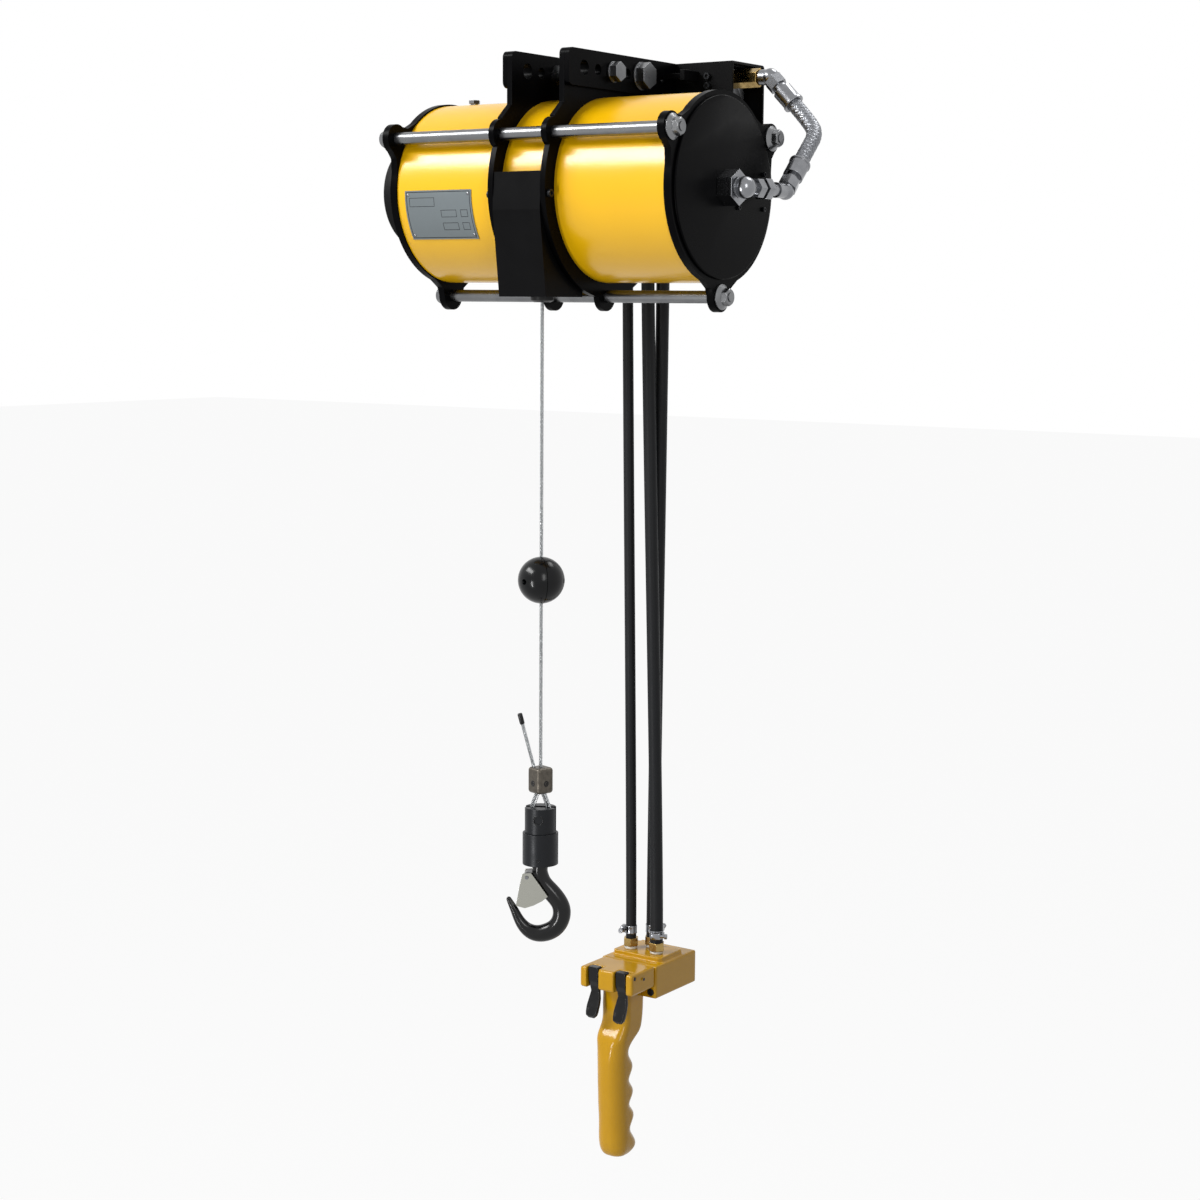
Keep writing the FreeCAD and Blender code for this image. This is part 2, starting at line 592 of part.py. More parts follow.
def rounded_path(points):
    """Straight runs joined by tangent arcs. Returns the wire and the arcs' radii."""
    edges, radii, start = [], [], points[0]
    for before, corner, after in zip(points, points[1:], points[2:]):
        to_back = before - corner
        to_front = after - corner
        shorter = min(to_back.Length, to_front.Length)
        turn = math.pi - to_back.getAngle(to_front)
        trim = 0.45 * shorter
        radii.append(trim / math.tan(turn / 2))
        entry = corner + unit(*to_back) * trim
        leave = corner + unit(*to_front) * trim
        middle = corner + unit(*(unit(*to_back) + unit(*to_front))) * (
            radii[-1] / math.cos(turn / 2) - radii[-1])
        edges.append(Part.LineSegment(start, entry).toShape())
        edges.append(Part.Arc(entry, middle, leave).toShape())
        start = leave
    edges.append(Part.LineSegment(start, points[-1]).toShape())
    return Part.Wire(edges), radii


def tube_along(label, wire, r):
    """A round solid swept along a wire, checked against section times length."""
    start = wire.Edges[0].Vertexes[0].Point
    heading = wire.Edges[0].tangentAt(wire.Edges[0].FirstParameter)
    section = Part.Wire(Part.makeCircle(r, start, heading))
    shape = wire.makePipeShell([section], True, True)
    expected = math.pi * r * r * wire.Length
    if abs(shape.Volume / expected - 1) > 0.01:
        raise RuntimeError(f"{label} has the wrong volume")
    return shape


def cord(label, points, r):
    wire, radii = rounded_path(points)
    print(label, "length", round(wire.Length, 1), "radii", [round(radius) for radius in radii])
    return feature(label, tube_along(label, wire, r))


def braided_hose():
    """Elbows, ferrules and the steel-braided hose between the valve box and the swivel."""
    (low, up), (high, down) = hose_ends()
    side = Vector(0, 1, 0)
    reach_low = value("dims.elbow_y") - value("dims.ball_r") - 40
    lower = Part.makeSphere(10, low).fuse([
        solid_rod(low - side * (reach_low - 12), side, 8.5, reach_low - 12),
        hex_rod(low + up * 4, up, 20, 12), solid_rod(low + up * 16, up, 8, 6)])
    lower = lower.cut(solid_rod(low - side * 60, side, 7.05, 60 - 12))
    upper = Part.makeSphere(10, high).fuse([
        solid_rod(high - ALONG_X * 12, ALONG_X, 9, 12),
        hex_rod(high + down * 4, down, 20, 12), solid_rod(high + down * 16, down, 8, 6)])
    upper = upper.cut(solid_rod(high - ALONG_X * 20, ALONG_X, 6.05, 14))
    feature("hose_elbows", Part.makeCompound([lower, upper]))
    ferrules = []
    for start, heading in ((low, up), (high, down)):
        root = start + heading * 22
        sleeve = solid_rod(root, heading, 11.5, 20).fuse(solid_rod(root + heading * 20, heading, 12.5, 3))
        ferrules.append(sleeve.cut(solid_rod(root + heading * 12, heading, value("dims.braid_r") + 0.02, 12)))
    feature("hose_ferrules", Part.makeCompound(ferrules))
    first = high + down * 34
    last = low + up * 34
    points = [first, first + down * 53, last + up * 49, last]
    cord("braided_hose", points, value("dims.braid_r"))


def control_hoses():
    """Three rubber hoses that carry the handle, with a brass tail and a band at each end."""
    top, low = "dims.hose_top", "dims.hose_low"
    names = ("left_hose", "right_hose", "rear_hose")
    tails, bands = [], []
    for name, (x0, y0, r), (x1, y1, _) in zip(names, hose_tops(), hose_feet()):
        start = from_axis(x0, y0, top)
        end = from_axis(x1, y1, low)
        cord(name, [start, start - ALONG_Z * 110, end + ALONG_Z * 90, end], value(r))
        flats = 17 if r == "dims.thin_hose_r" else 18
        spots = ((start, 1, value("dims.port_z - 28") - value(top)), (end, -1, value(low) - value("dims.pad_top")))
        for spot, up, gap in spots:
            heading = ALONG_Z * up
            tail = hex_rod(spot, heading, flats, 10).fuse(solid_rod(spot + heading * 10, heading, 7, gap - 10))
            plug = solid_rod(spot + heading * gap, heading, 3.9, 10)
            tails.append(tail.fuse(plug).removeSplitter())
            band_z = spot - heading * 16
            ring = solid_rod(band_z, heading, value(r) + 1, 11).cut(solid_rod(band_z, heading, value(r) + 0.02, 11))
            bands.append(ring)
    feature("hose_tails", Part.makeCompound(tails))
    feature("hose_bands", Part.makeCompound(bands))


def turned_about_rope():
    """The hook group's own turn about the rope."""
    return Rotation(ALONG_Z, value("dims.hook_turn"))


def rope_point(x, z, y=0):
    """A point of the hook group: x across it and y through it, both turned about the rope."""
    return from_axis(0, "-dims.coil_r", z) + turned_about_rope().multVec(Vector(x, y, 0))


def rope_group():
    """The hanging rope, stop ball, clamp, tail and the loop round the clevis pin."""
    r = value("dims.rope_r")
    foot = "dims.clamp_low + 9"
    keep("lifting_rope", cylinder("dims.rope_r", f"-2.4 - ({foot})", 0, "-dims.coil_r", foot))
    ball = bind(doc.addObject("Part::Sphere", "ball"), Radius="dims.stop_ball_r")
    place(ball, 0, "-dims.coil_r", "dims.stop_ball_z")
    bore = cylinder("dims.rope_r + dims.run_gap", 70, 0, "-dims.coil_r", "dims.stop_ball_z - 35")
    split = Rotation(ALONG_Z, value("dims.seam_turn"))
    centre = from_axis(0, "-dims.coil_r", "dims.stop_ball_z")
    seam = doc.addObject("Part::Feature", "seam")
    seam.Shape = Part.makeBox(70, 0.6, 70, Vector(-35, -0.3, -35))
    seam.Placement = Placement(centre, split)
    across = split.multVec(ALONG_Y)
    screws = doc.addObject("Part::Feature", "screws")
    screws.Shape = Part.makeCompound([solid_rod(centre + split.multVec(Vector(x, 0, 0)) + across * (side * 15),
                                                across * side, 3.2, 15) for x in (-12, 12) for side in (-1, 1)])
    keep("stop_ball", cut(ball, bore, seam, screws))
    half = 11
    clamp = Part.makeBox(2 * half, 2 * half, value("dims.clamp_top - dims.clamp_low"), Vector(-half, -half, 0))
    clamp = clamp.makeFillet(4, clamp.Edges)
    clamp.Placement = Placement(rope_point(0, value("dims.clamp_low")), Rotation(ALONG_Z, value("dims.hook_turn") + 45))
    low = value("dims.clamp_low")
    high = value("dims.clamp_top")
    tall = high - low
    main = solid_rod(rope_point(0, low + 9), ALONG_Z, r + 0.02, tall)
    legs = [leg_rod(side, r + 0.02, 12) for side in (-1, 1)]
    away = unit(*(rope_point(-20, high + 62, -4) - rope_point(-4.2, high, 0)))
    tail_root = rope_point(-4.2, high - 14)
    tail = solid_rod(tail_root, away, r, 76)
    clamp = clamp.cut([main, solid_rod(tail_root, away, r + 0.02, 30)] + legs)
    feature("rope_clamp", clamp)
    cap = solid_rod(tail_root + away * 68, away, r + 0.9, 11).cut(solid_rod(tail_root + away * 66, away, r + 0.02, 10))
    feature("rope_tail", Part.makeCompound([tail, cap]))


def loop_leg():
    """Where the loop's right leg leaves the thimble and enters the clamp, as (x, z)."""
    bend = 12
    leg_x = 3
    pin = value("dims.pin_z")
    rise = value("dims.clamp_low") - pin
    tangent = math.atan2(rise, leg_x) - math.acos(bend / math.hypot(leg_x, rise))
    return (bend * math.cos(tangent), pin + bend * math.sin(tangent)), (leg_x, pin + rise)


def leg_rod(side, r, depth):
    """A straight rod on a leg's line, from just under the clamp up to a depth inside it."""
    touch, entry = loop_leg()
    start = rope_point(side * entry[0], entry[1])
    heading = unit(*(start - rope_point(side * touch[0], touch[1])))
    return solid_rod(start - heading * 4, heading, r, depth)


def rope_loop():
    """Rope bent round the thimble on the clevis pin, its two legs meeting in the clamp."""
    r = value("dims.rope_r")
    bend = 12
    pin = value("dims.pin_z")
    touch, entry = loop_leg()
    ends = [rope_point(side * entry[0], entry[1]) for side in (1, -1)]
    feet = [rope_point(side * touch[0], touch[1]) for side in (1, -1)]
    ends = [end + unit(*(end - foot)) * 6 for end, foot in zip(ends, feet)]
    arc = Part.Arc(feet[0], rope_point(0, pin - bend), feet[1]).toShape()
    legs = [Part.LineSegment(ends[0], feet[0]).toShape(), Part.LineSegment(feet[1], ends[1]).toShape()]
    rope = tube_along("rope_loop", Part.Wire([legs[0], arc, legs[1]]), r)
    across = turned_about_rope().multVec(ALONG_Y)
    eye = solid_rod(rope_point(0, pin, -3), across, bend - r - 0.1, 6)
    eye = eye.cut(solid_rod(rope_point(0, pin, -4), across, value("dims.pin_r + dims.run_gap"), 8))
    feature("rope_loop", Part.makeCompound([rope, eye]))


def swivel_hook():
    """Clevis, bearing cap, hook with its nut, and the spring-closed latch."""
    turn = turned_about_rope()
    across = turn.multVec(ALONG_Y)
    pin_z = value("dims.pin_z")
    top, step, low = (value(f"dims.{name}") for name in ("clevis_top", "cap_top", "cap_low"))
    clevis = solid_rod(rope_point(0, step), ALONG_Z, value("dims.clevis_r"), top - step)
    spigot = solid_rod(rope_point(0, step - 12), ALONG_Z, 16, 12)
    slot = Part.makeBox(60, 8, 60, Vector(-30, -4, 0))
    slot.Placement = Placement(rope_point(0, pin_z - 15), turn)
    pin_hole = solid_rod(rope_point(0, pin_z, -30), across, value("dims.pin_r"), 60)
    clevis = clevis.fuse(spigot).cut([slot, pin_hole])
    feature("swivel_clevis", clevis.removeSplitter())
    feature("clevis_pin", solid_rod(rope_point(0, pin_z, -17.2), across, value("dims.pin_r"), 34.4))
    cap = solid_rod(rope_point(0, low), ALONG_Z, value("dims.cap_r"), step - low)
    thread = solid_rod(rope_point(0, step - 12), ALONG_Z, 16.05, 12)
    chamber = solid_rod(rope_point(0, low + 8), ALONG_Z, 15, step - low - 19)
    neck = solid_rod(rope_point(0, low - 1), ALONG_Z, 7.1, 12)
    feature("swivel_cap", cap.cut([thread, chamber, neck]))
    race = solid_rod(rope_point(0, low + 8), ALONG_Z, 14.5, 5).cut(solid_rod(rope_point(0, low + 7), ALONG_Z, 7.2, 8))
    feature("swivel_bearing", race)
    nut = hex_rod(rope_point(0, low + 13.4), ALONG_Z, 21, 8)
    shank_r = 7
    nut = nut.cut(solid_rod(rope_point(0, low + 13), ALONG_Z, shank_r + 0.02, 9))
    feature("hook", Part.makeCompound([hook_solid(shank_r), nut]))
    latch(turn)


def hook_sections():
    """Sections of the forged hook round the bowl's centre: x, z, heading and thickness."""
    bend = 25.2
    sections = [(0, 55, -90, 19), (0, 45, -90, 19), (3.5, 35.5, -66, 19)]
    for angle in (42, 15, -15, -45, -75):
        turned = math.radians(angle)
        sections.append((bend * math.cos(turned), bend * math.sin(turned), angle - 90, 20.5))
    sections += [(-7, -25.2, -196, 18.5), (-17.5, -19.5, -221, 15), (-25.5, -8.5, -240, 11.5),
                 (-31, 3, -244, 9), (-36.5, 13.5, -240, 6)]
    return sections


def hook_solid(shank_r):
    """The forged hook: a lofted body, a round tip, a latch ear and a turned shank."""
    turn = turned_about_rope()
    across = turn.multVec(ALONG_Y)
    bowl = value("dims.bowl_z")
    wires = []
    for x, z, heading, thick in hook_sections():
        angle = math.radians(heading)
        ahead = turn.multVec(Vector(math.cos(angle), 0, math.sin(angle)))
        outward = across.cross(ahead)
        ring = Part.Ellipse(Vector(0, 0, 0), thick / 2, thick / 2 * 0.88).toShape()
        ring.Placement = Placement(rope_point(x, bowl + z), Rotation(outward, across, ahead, "ZXY"))
        wires.append(Part.Wire(ring))
    body = Part.makeLoft(wires, True, False)
    shank = solid_rod(rope_point(0, bowl + 54), ALONG_Z, shank_r, value("dims.cap_low") + 22 - bowl - 54)
    ear = Part.makeBox(14, 16, 10, Vector(-14, -8, 0))
    ear.Placement = Placement(rope_point(0, bowl + 37.7), turn)
    boss = solid_rod(rope_point(-14, bowl + 42.7, -8), across, 5, 16)
    pin_hole = solid_rod(rope_point(-14, bowl + 42.7, -12), across, 2, 24)
    last = hook_sections()[-1]
    tip = Part.makeSphere(2.9, rope_point(last[0], bowl + last[1]))
    solid = body.fuse([shank, ear, boss, tip]).cut(pin_hole)
    return solid.removeSplitter()


def latch(turn):
    """A folded sheet latch that straddles the hook and closes its mouth."""
    half = 10.5
    gauge = 1.5
    piece = Piece("hook_latch")
    outline = [(-19, 47), (-9, 48), (10.5, 21), (4, 15.5), (-6, 10), (-16, 6.5), (-26.5, 9), (-22, 34)]
    hollow = [(-24.9, 5), (-24.9, 9.2), (-20.4, 34), (-40, 34), (-40, 60), (20, 60), (20, 5)]
    piece.pad("XZ_Plane", [outline], 2 * (half + gauge), both=True)
    piece.pocket("XZ_Plane", [hollow], 2 * half)
    piece.pocket("XZ_Plane", [(-14, 42.7, "2 + dims.run_gap")])
    piece.at(0, "-dims.coil_r", "dims.bowl_z", turn)
    across = turn.multVec(ALONG_Y)
    bowl = value("dims.bowl_z")
    feature("latch_pin", solid_rod(rope_point(-14, bowl + 42.7, -half - gauge - 1), across, 2, 2 * (half + gauge + 1)))


def handle():
    """The cast handle: head with lever slots, neck and grip, and the valve housing behind it."""
    left, right = value("dims.head_left"), value("dims.head_right")
    front, mid, back = value("dims.head_front"), value("dims.head_mid"), value("dims.head_back")
    top, low = value("dims.head_top"), value("dims.head_low")
    housing_low = value("dims.housing_low")
    head = rounded_block((left + 2, front, low), (right - 2, back + 4, top), 3)
    head = head.common(block((left, front - 1, low - 1), (right, back, top + 1)))
    slots = []
    for centre in ("dims.lever_left", "dims.lever_right"):
        half = value("dims.slot_w") / 2
        x = value(centre)
        slots.append(block((x - half, front - 5, low - 14), (x + half, mid, top + 5)))
    pivot = cylinder_between(left - 5, right + 5, value("dims.pivot_y"), value("dims.pivot_z"),
                             value("dims.lever_pin_r"))
    bores = [cylinder_y(value(x), mid - 1, back - 8, value("dims.press_z"), 3.05)
             for x in ("dims.lever_left", "dims.lever_right")]
    above = block((left - 1, back, housing_low), (right + 1, 300, top + 20))
    body = head.fuse(loft_grip()).cut(slots + bores + [pivot, above])
    feature("handle_body", body.removeSplitter())
    housing = rounded_block((left, back, housing_low), (right, value("dims.housing_back"), top), 2)
    pad = block((-45, 143, top - 10), (27, 195, value("dims.pad_top")))
    pad = pad.makeChamfer(4, [e for e in pad.Edges if along(e, ALONG_Z)])
    ports = [solid_rod(from_axis(x, y, value("dims.pad_top") - 14), ALONG_Z, 4, 20) for x, y, _ in hose_feet()]
    feature("handle_valve_housing", housing.fuse(pad).cut(ports).removeSplitter())
    pin = cylinder_between(left + 2.5, right - 2.5, value("dims.pivot_y"), value("dims.pivot_z"),
                           value("dims.lever_pin_r") - 0.02)
    feature("lever_pin", pin)


def block(low, high):
    corner = from_axis(*low)
    far = from_axis(*high)
    size = far - corner
    return Part.makeBox(size.x, size.y, size.z, corner)


def rounded_block(low, high, radius):
    solid = block(low, high)
    return solid.makeFillet(radius, solid.Edges)


def cylinder_between(x0, x1, y, z, r):
    return solid_rod(from_axis(x0, y, z), ALONG_X, r, x1 - x0)


def cylinder_y(x, y0, y1, z, r):
    return solid_rod(from_axis(x, y0, z), ALONG_Y, r, y1 - y0)


def grip_sections():
    """Sections of grip and neck from the foot up: z, front y, back y, width and corner radius."""
    return [(-1168, 92, 119, 24, 10), (-1162, 85, 126, 34, 14), (-1152, 82, 127, 39, 17),
            (-1133, 80.5, 117, 39, 18), (-1118, 80, 124.5, 39, 18), (-1102, 79, 114.5, 39, 17.5),
            (-1088, 78, 122.5, 39, 18), (-1071, 77.2, 113.5, 39, 18), (-1056, 76.8, 121, 39, 18),
            (-1040, 77, 112, 39, 17), (-1029, 78, 111.5, 40, 16), (-1019, 79.5, 121, 41, 14),
            (-1011, 84, 131, 41, 12), (-1002, 90.5, 134.5, 40.5, 11), (-994, 93, 136, 40, 10.5),
            (-984, 93.5, 136.5, 40, 10), (-972, 93.5, 137, 40, 10), (-958, 93.5, 137.5, 40, 10),
            (-945, 93.5, 138, 40, 10)]


def rounded_ring(z, front, back, width, corner):
    """A horizontal rectangle with round corners, as eight edges."""
    centre_x = value("dims.port_mid")
    half = width / 2
    step = math.sqrt(0.5)
    edges = []
    corners = [(half, front, 1, -1), (half, back, 1, 1), (-half, back, -1, 1), (-half, front, -1, -1)]
    arcs = []
    for x, y, side_x, side_y in corners:
        middle = (x - side_x * corner, y - side_y * corner)
        first = (x, middle[1]) if side_x * side_y > 0 else (middle[0], y)
        last = (middle[0], y) if side_x * side_y > 0 else (x, middle[1])
        diagonal = (middle[0] + side_x * corner * step, middle[1] + side_y * corner * step)
        arcs.append([from_axis(centre_x + px, py, z) for px, py in (first, diagonal, last)])
    for i, arc in enumerate(arcs):
        edges.append(Part.Arc(*arc).toShape())
        edges.append(Part.LineSegment(arc[2], arcs[(i + 1) % 4][0]).toShape())
    return Part.Wire(edges)


def loft_grip():
    return Part.makeLoft([rounded_ring(*section) for section in grip_sections()], True, False)


def lever(side):
    """A curved thumb lever on the handle's pivot pin, and the valve plunger behind it."""
    x = value(f"dims.lever_{side}")
    name = {"left": "up_lever", "right": "down_lever"}[side]
    piece = Piece(name)
    top = 6
    outline = [(-5, top), (4, top), (4, -14), (2.6, -19), (3.4, -25), (2, -35), (-2.5, -47), (-5, -55), (-8, -57.5),
               (-10.5, -54), (-7.5, -44), (-3, -34), (-0.8, -26), (-2, -19), (-5, -12)]
    piece.pad("YZ_Plane", [outline], "dims.lever_w", both=True)
    piece.pocket("YZ_Plane", [(0, 0, "dims.lever_pin_r + dims.run_gap")])
    piece.round(1.2, lambda e: e.Curve.TypeId == "Part::GeomLine" and not along(e, ALONG_X))
    piece.at(x, "dims.pivot_y", "dims.pivot_z")
    plunger = cylinder(3, 16, x, "dims.pivot_y + 4.4", "dims.press_z", TO_Y)
    keep(name.replace("lever", "plunger"), plunger)


def name_plate():
    """A bare aluminium plate curved round the left shell."""
    skin = tube("dims.shell_r + 0.8", "dims.shell_r + 0.02", 95, -170, turn=TO_X)
    region = box(95, 30, 54, -170, -110, -54)
    plate = doc.addObject("Part::Common", "plate")
    plate.Base = skin
    plate.Tool = region
    keep("name_plate", plate)


def small_fasteners():
    """Cap screws of the guard, the right end plate and the valve box, and the handle's plug."""
    face = value("dims.half_length + dims.raised_t")
    ring_out = value("dims.ring_in + dims.ring_t")
    plate_y = value("dims.bar_back")
    screws = [
        (Vector(ring_out, -112, -7), ALONG_X, 4.2, 4), (Vector(-ring_out, -112, -7), -ALONG_X, 4.2, 4),
        (Vector(face, 28, 18), ALONG_X, 2.6, 2.5), (Vector(face, 81, 18), ALONG_X, 2.6, 2.5),
        (Vector(face, 28, -20), ALONG_X, 2.6, 2.5), (Vector(face, 81, -20), ALONG_X, 2.6, 2.5),
        (Vector(88, plate_y, 134), -ALONG_Y, 3.8, 3.5), (Vector(88, plate_y, 123), -ALONG_Y, 3.8, 3.5),
        (Vector(24, value("dims.head_back"), -962), -ALONG_Y, 4.5, 1.5),
    ]
    heads = []
    for place_of, out, r, tall in screws:
        root = from_axis(*place_of)
        socket = hex_rod(root + out * (tall * 0.4), out, r, tall)
        heads.append(solid_rod(root, out, r, tall).cut(socket))
    feature("small_screws", Part.makeCompound(heads))
    plug = fuse(hexagon(12, 4, -150, 0, "dims.shell_r + 1.5"), cylinder(4.5, 6.5, -150, 0, "dims.shell_r - 4.9"))
    hole = cylinder(4.55, 20, -150, 0, "dims.shell_r - 12")
    keep("breather_plug", plug)
    keep("left_shell", cut(parts["left_shell"], hole))


def check_and_write():
    """Stops on any failed object, then writes each sub-part to its own file."""
    doc.recompute()
    failed = [o.Label for o in doc.Objects if "Invalid" in o.State or "Error" in o.State]
    if failed:
        raise RuntimeError(f"failed objects: {failed}")
    os.makedirs("parts", exist_ok=True)
    for label, item in parts.items():
        shape = item.Shape
        if shape.isNull() or not shape.isValid() or not shape.Solids:
            raise RuntimeError(f"{label} has no valid solid")
        shape.exportStep(f"parts/{label}.step")
    print(len(parts), "sub-parts")


end_plates()
shells()
hangers()
tie_rods()
rope_guard()
ball_screw()
reel()
piston()
suspension_bolts()
valve_box()
swivel()
braided_hose()
control_hoses()
rope_group()
rope_loop()
swivel_hook()
handle()
lever("left")
lever("right")
name_plate()
small_fasteners()
check_and_write()
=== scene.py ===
import bmesh
import bpy
import json
import math
import numpy as np
from mathutils import Matrix, Vector

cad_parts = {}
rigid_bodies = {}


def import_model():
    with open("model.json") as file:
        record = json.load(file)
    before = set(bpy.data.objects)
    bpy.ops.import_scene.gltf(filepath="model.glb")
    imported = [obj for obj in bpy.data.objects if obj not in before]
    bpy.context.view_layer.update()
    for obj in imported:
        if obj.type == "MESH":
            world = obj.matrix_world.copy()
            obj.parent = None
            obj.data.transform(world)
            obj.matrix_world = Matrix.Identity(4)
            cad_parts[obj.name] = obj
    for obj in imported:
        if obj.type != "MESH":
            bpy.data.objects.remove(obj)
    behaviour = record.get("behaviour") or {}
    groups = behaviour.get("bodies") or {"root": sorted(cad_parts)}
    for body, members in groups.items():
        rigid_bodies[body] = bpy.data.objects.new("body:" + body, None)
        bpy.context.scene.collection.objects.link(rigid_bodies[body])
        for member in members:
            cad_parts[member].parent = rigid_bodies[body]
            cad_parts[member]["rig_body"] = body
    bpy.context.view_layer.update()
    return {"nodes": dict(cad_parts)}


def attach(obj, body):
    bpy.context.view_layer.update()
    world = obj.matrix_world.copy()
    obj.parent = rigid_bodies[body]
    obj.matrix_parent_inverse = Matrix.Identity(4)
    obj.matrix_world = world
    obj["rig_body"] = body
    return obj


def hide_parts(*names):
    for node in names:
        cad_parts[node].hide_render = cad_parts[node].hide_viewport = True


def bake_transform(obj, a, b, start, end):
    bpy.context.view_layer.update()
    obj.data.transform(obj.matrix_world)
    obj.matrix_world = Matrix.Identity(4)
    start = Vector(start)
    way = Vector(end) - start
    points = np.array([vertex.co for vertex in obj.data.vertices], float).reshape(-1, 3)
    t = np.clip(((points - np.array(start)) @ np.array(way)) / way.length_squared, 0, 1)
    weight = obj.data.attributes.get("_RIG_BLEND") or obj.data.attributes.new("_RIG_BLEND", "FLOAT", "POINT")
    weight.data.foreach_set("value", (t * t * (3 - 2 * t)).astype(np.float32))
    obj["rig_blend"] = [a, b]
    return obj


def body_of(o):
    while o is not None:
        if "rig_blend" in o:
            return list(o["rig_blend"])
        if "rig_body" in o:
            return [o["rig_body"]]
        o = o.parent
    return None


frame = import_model()

mm = 0.001
nodes = frame["nodes"]
ropeY = -70  # the lifting rope's line, in front of the reel's axis
mergeGap = 2e-6  # corners of a solid's mesh closer than this are one


# small tools

def fromAxis(x, y, z):  # millimetres from the reel's axis to metres in the part's frame
    return np.array([x, y + 55.0, z - 130.0]) * mm


def unit(v):
    v = np.asarray(v, float)
    return v / np.linalg.norm(v)


hookTurn = math.radians(28)  # the hook group's own turn about the rope


def atRope(x, y, z):  # millimetres across the hook, through it, and up, to the part's frame
    c, s = math.cos(hookTurn), math.sin(hookTurn)
    return fromAxis(x * c - y * s, ropeY + x * s + y * c, z)


def linear(hexText):  # sRGB hex to linear colour: a power curve of 2.4 above a short straight foot
    rgb = [int(hexText[i:i + 2], 16) / 255 for i in (1, 3, 5)]
    return tuple(c / 12.92 if c <= 0.04045 else ((c + 0.055) / 1.055) ** 2.4 for c in rgb) + (1.0,)


def addNode(tree, kind, settings=None, inputs=None):
    node = tree.nodes.new(kind)
    for key, value in (settings or {}).items():
        setattr(node, key, value)
    for key, value in (inputs or {}).items():
        if isinstance(value, bpy.types.NodeSocket):
            tree.links.new(value, node.inputs[key])
        else:
            node.inputs[key].default_value = value
    return node


def newMaterial(name, look):
    # a shader with its constants set on its own sockets; patterns are linked on afterwards
    material = bpy.data.materials.new(name)
    material.use_nodes = True
    tree = material.node_tree
    tree.nodes.clear()
    shader = addNode(tree, "ShaderNodeBsdfPrincipled", inputs={
        "Base Color": linear(look["colour"]), "Metallic": look.get("metallic", 0.0),
        "Roughness": look["roughness"], "Coat Weight": look.get("coat", 0.0),
        "Coat Roughness": look.get("coatRoughness", 0.03)})
    if "specular" in look:
        shader.inputs["Specular IOR Level"].default_value = look["specular"]
    addNode(tree, "ShaderNodeOutputMaterial", inputs={"Surface": shader.outputs[0]})
    return material, tree, shader


def patterned(name, look):
    # colour drifts between two tones, roughness drifts about its value, and a fine grain is raised
    material, tree, shader = newMaterial(name, look)
    place = addNode(tree, "ShaderNodeTexCoord").outputs["Object"]
    drift = addNode(tree, "ShaderNodeTexNoise", inputs={
        "Vector": place, "Scale": 1000 / look.get("driftMm", 60), "Detail": 4.0, "Roughness": 0.6})
    tone = addNode(tree, "ShaderNodeMix", {"data_type": "RGBA"}, {
        0: drift.outputs["Fac"], 6: linear(look["colour"]), 7: linear(look.get("second", look["colour"]))})
    tree.links.new(tone.outputs[2], shader.inputs["Base Color"])
    spread = look.get("spread", 0.08)
    rough = addNode(tree, "ShaderNodeMapRange", inputs={
        0: drift.outputs["Fac"], 1: 0.3, 2: 0.7, 3: max(0.02, look["roughness"] - spread),
        4: look["roughness"] + spread})
    tree.links.new(rough.outputs[0], shader.inputs["Roughness"])
    if look.get("grainMm"):
        stretch = look.get("stretch", (1, 1, 1))
        spot = addNode(tree, "ShaderNodeMapping", inputs={"Vector": place, "Scale": stretch})
        grain = addNode(tree, "ShaderNodeTexNoise", inputs={
            "Vector": spot.outputs[0], "Scale": 1000 / look["grainMm"],
            "Detail": look.get("grainDetail", 3.0), "Roughness": 0.55})
        raised = addNode(tree, "ShaderNodeBump", inputs={
            "Height": grain.outputs["Fac"], "Strength": look.get("grainStrength", 0.3),
            "Distance": look.get("grainHeightMm", 0.05) * mm})
        tree.links.new(raised.outputs[0], shader.inputs["Normal"])
    return material


# finishes

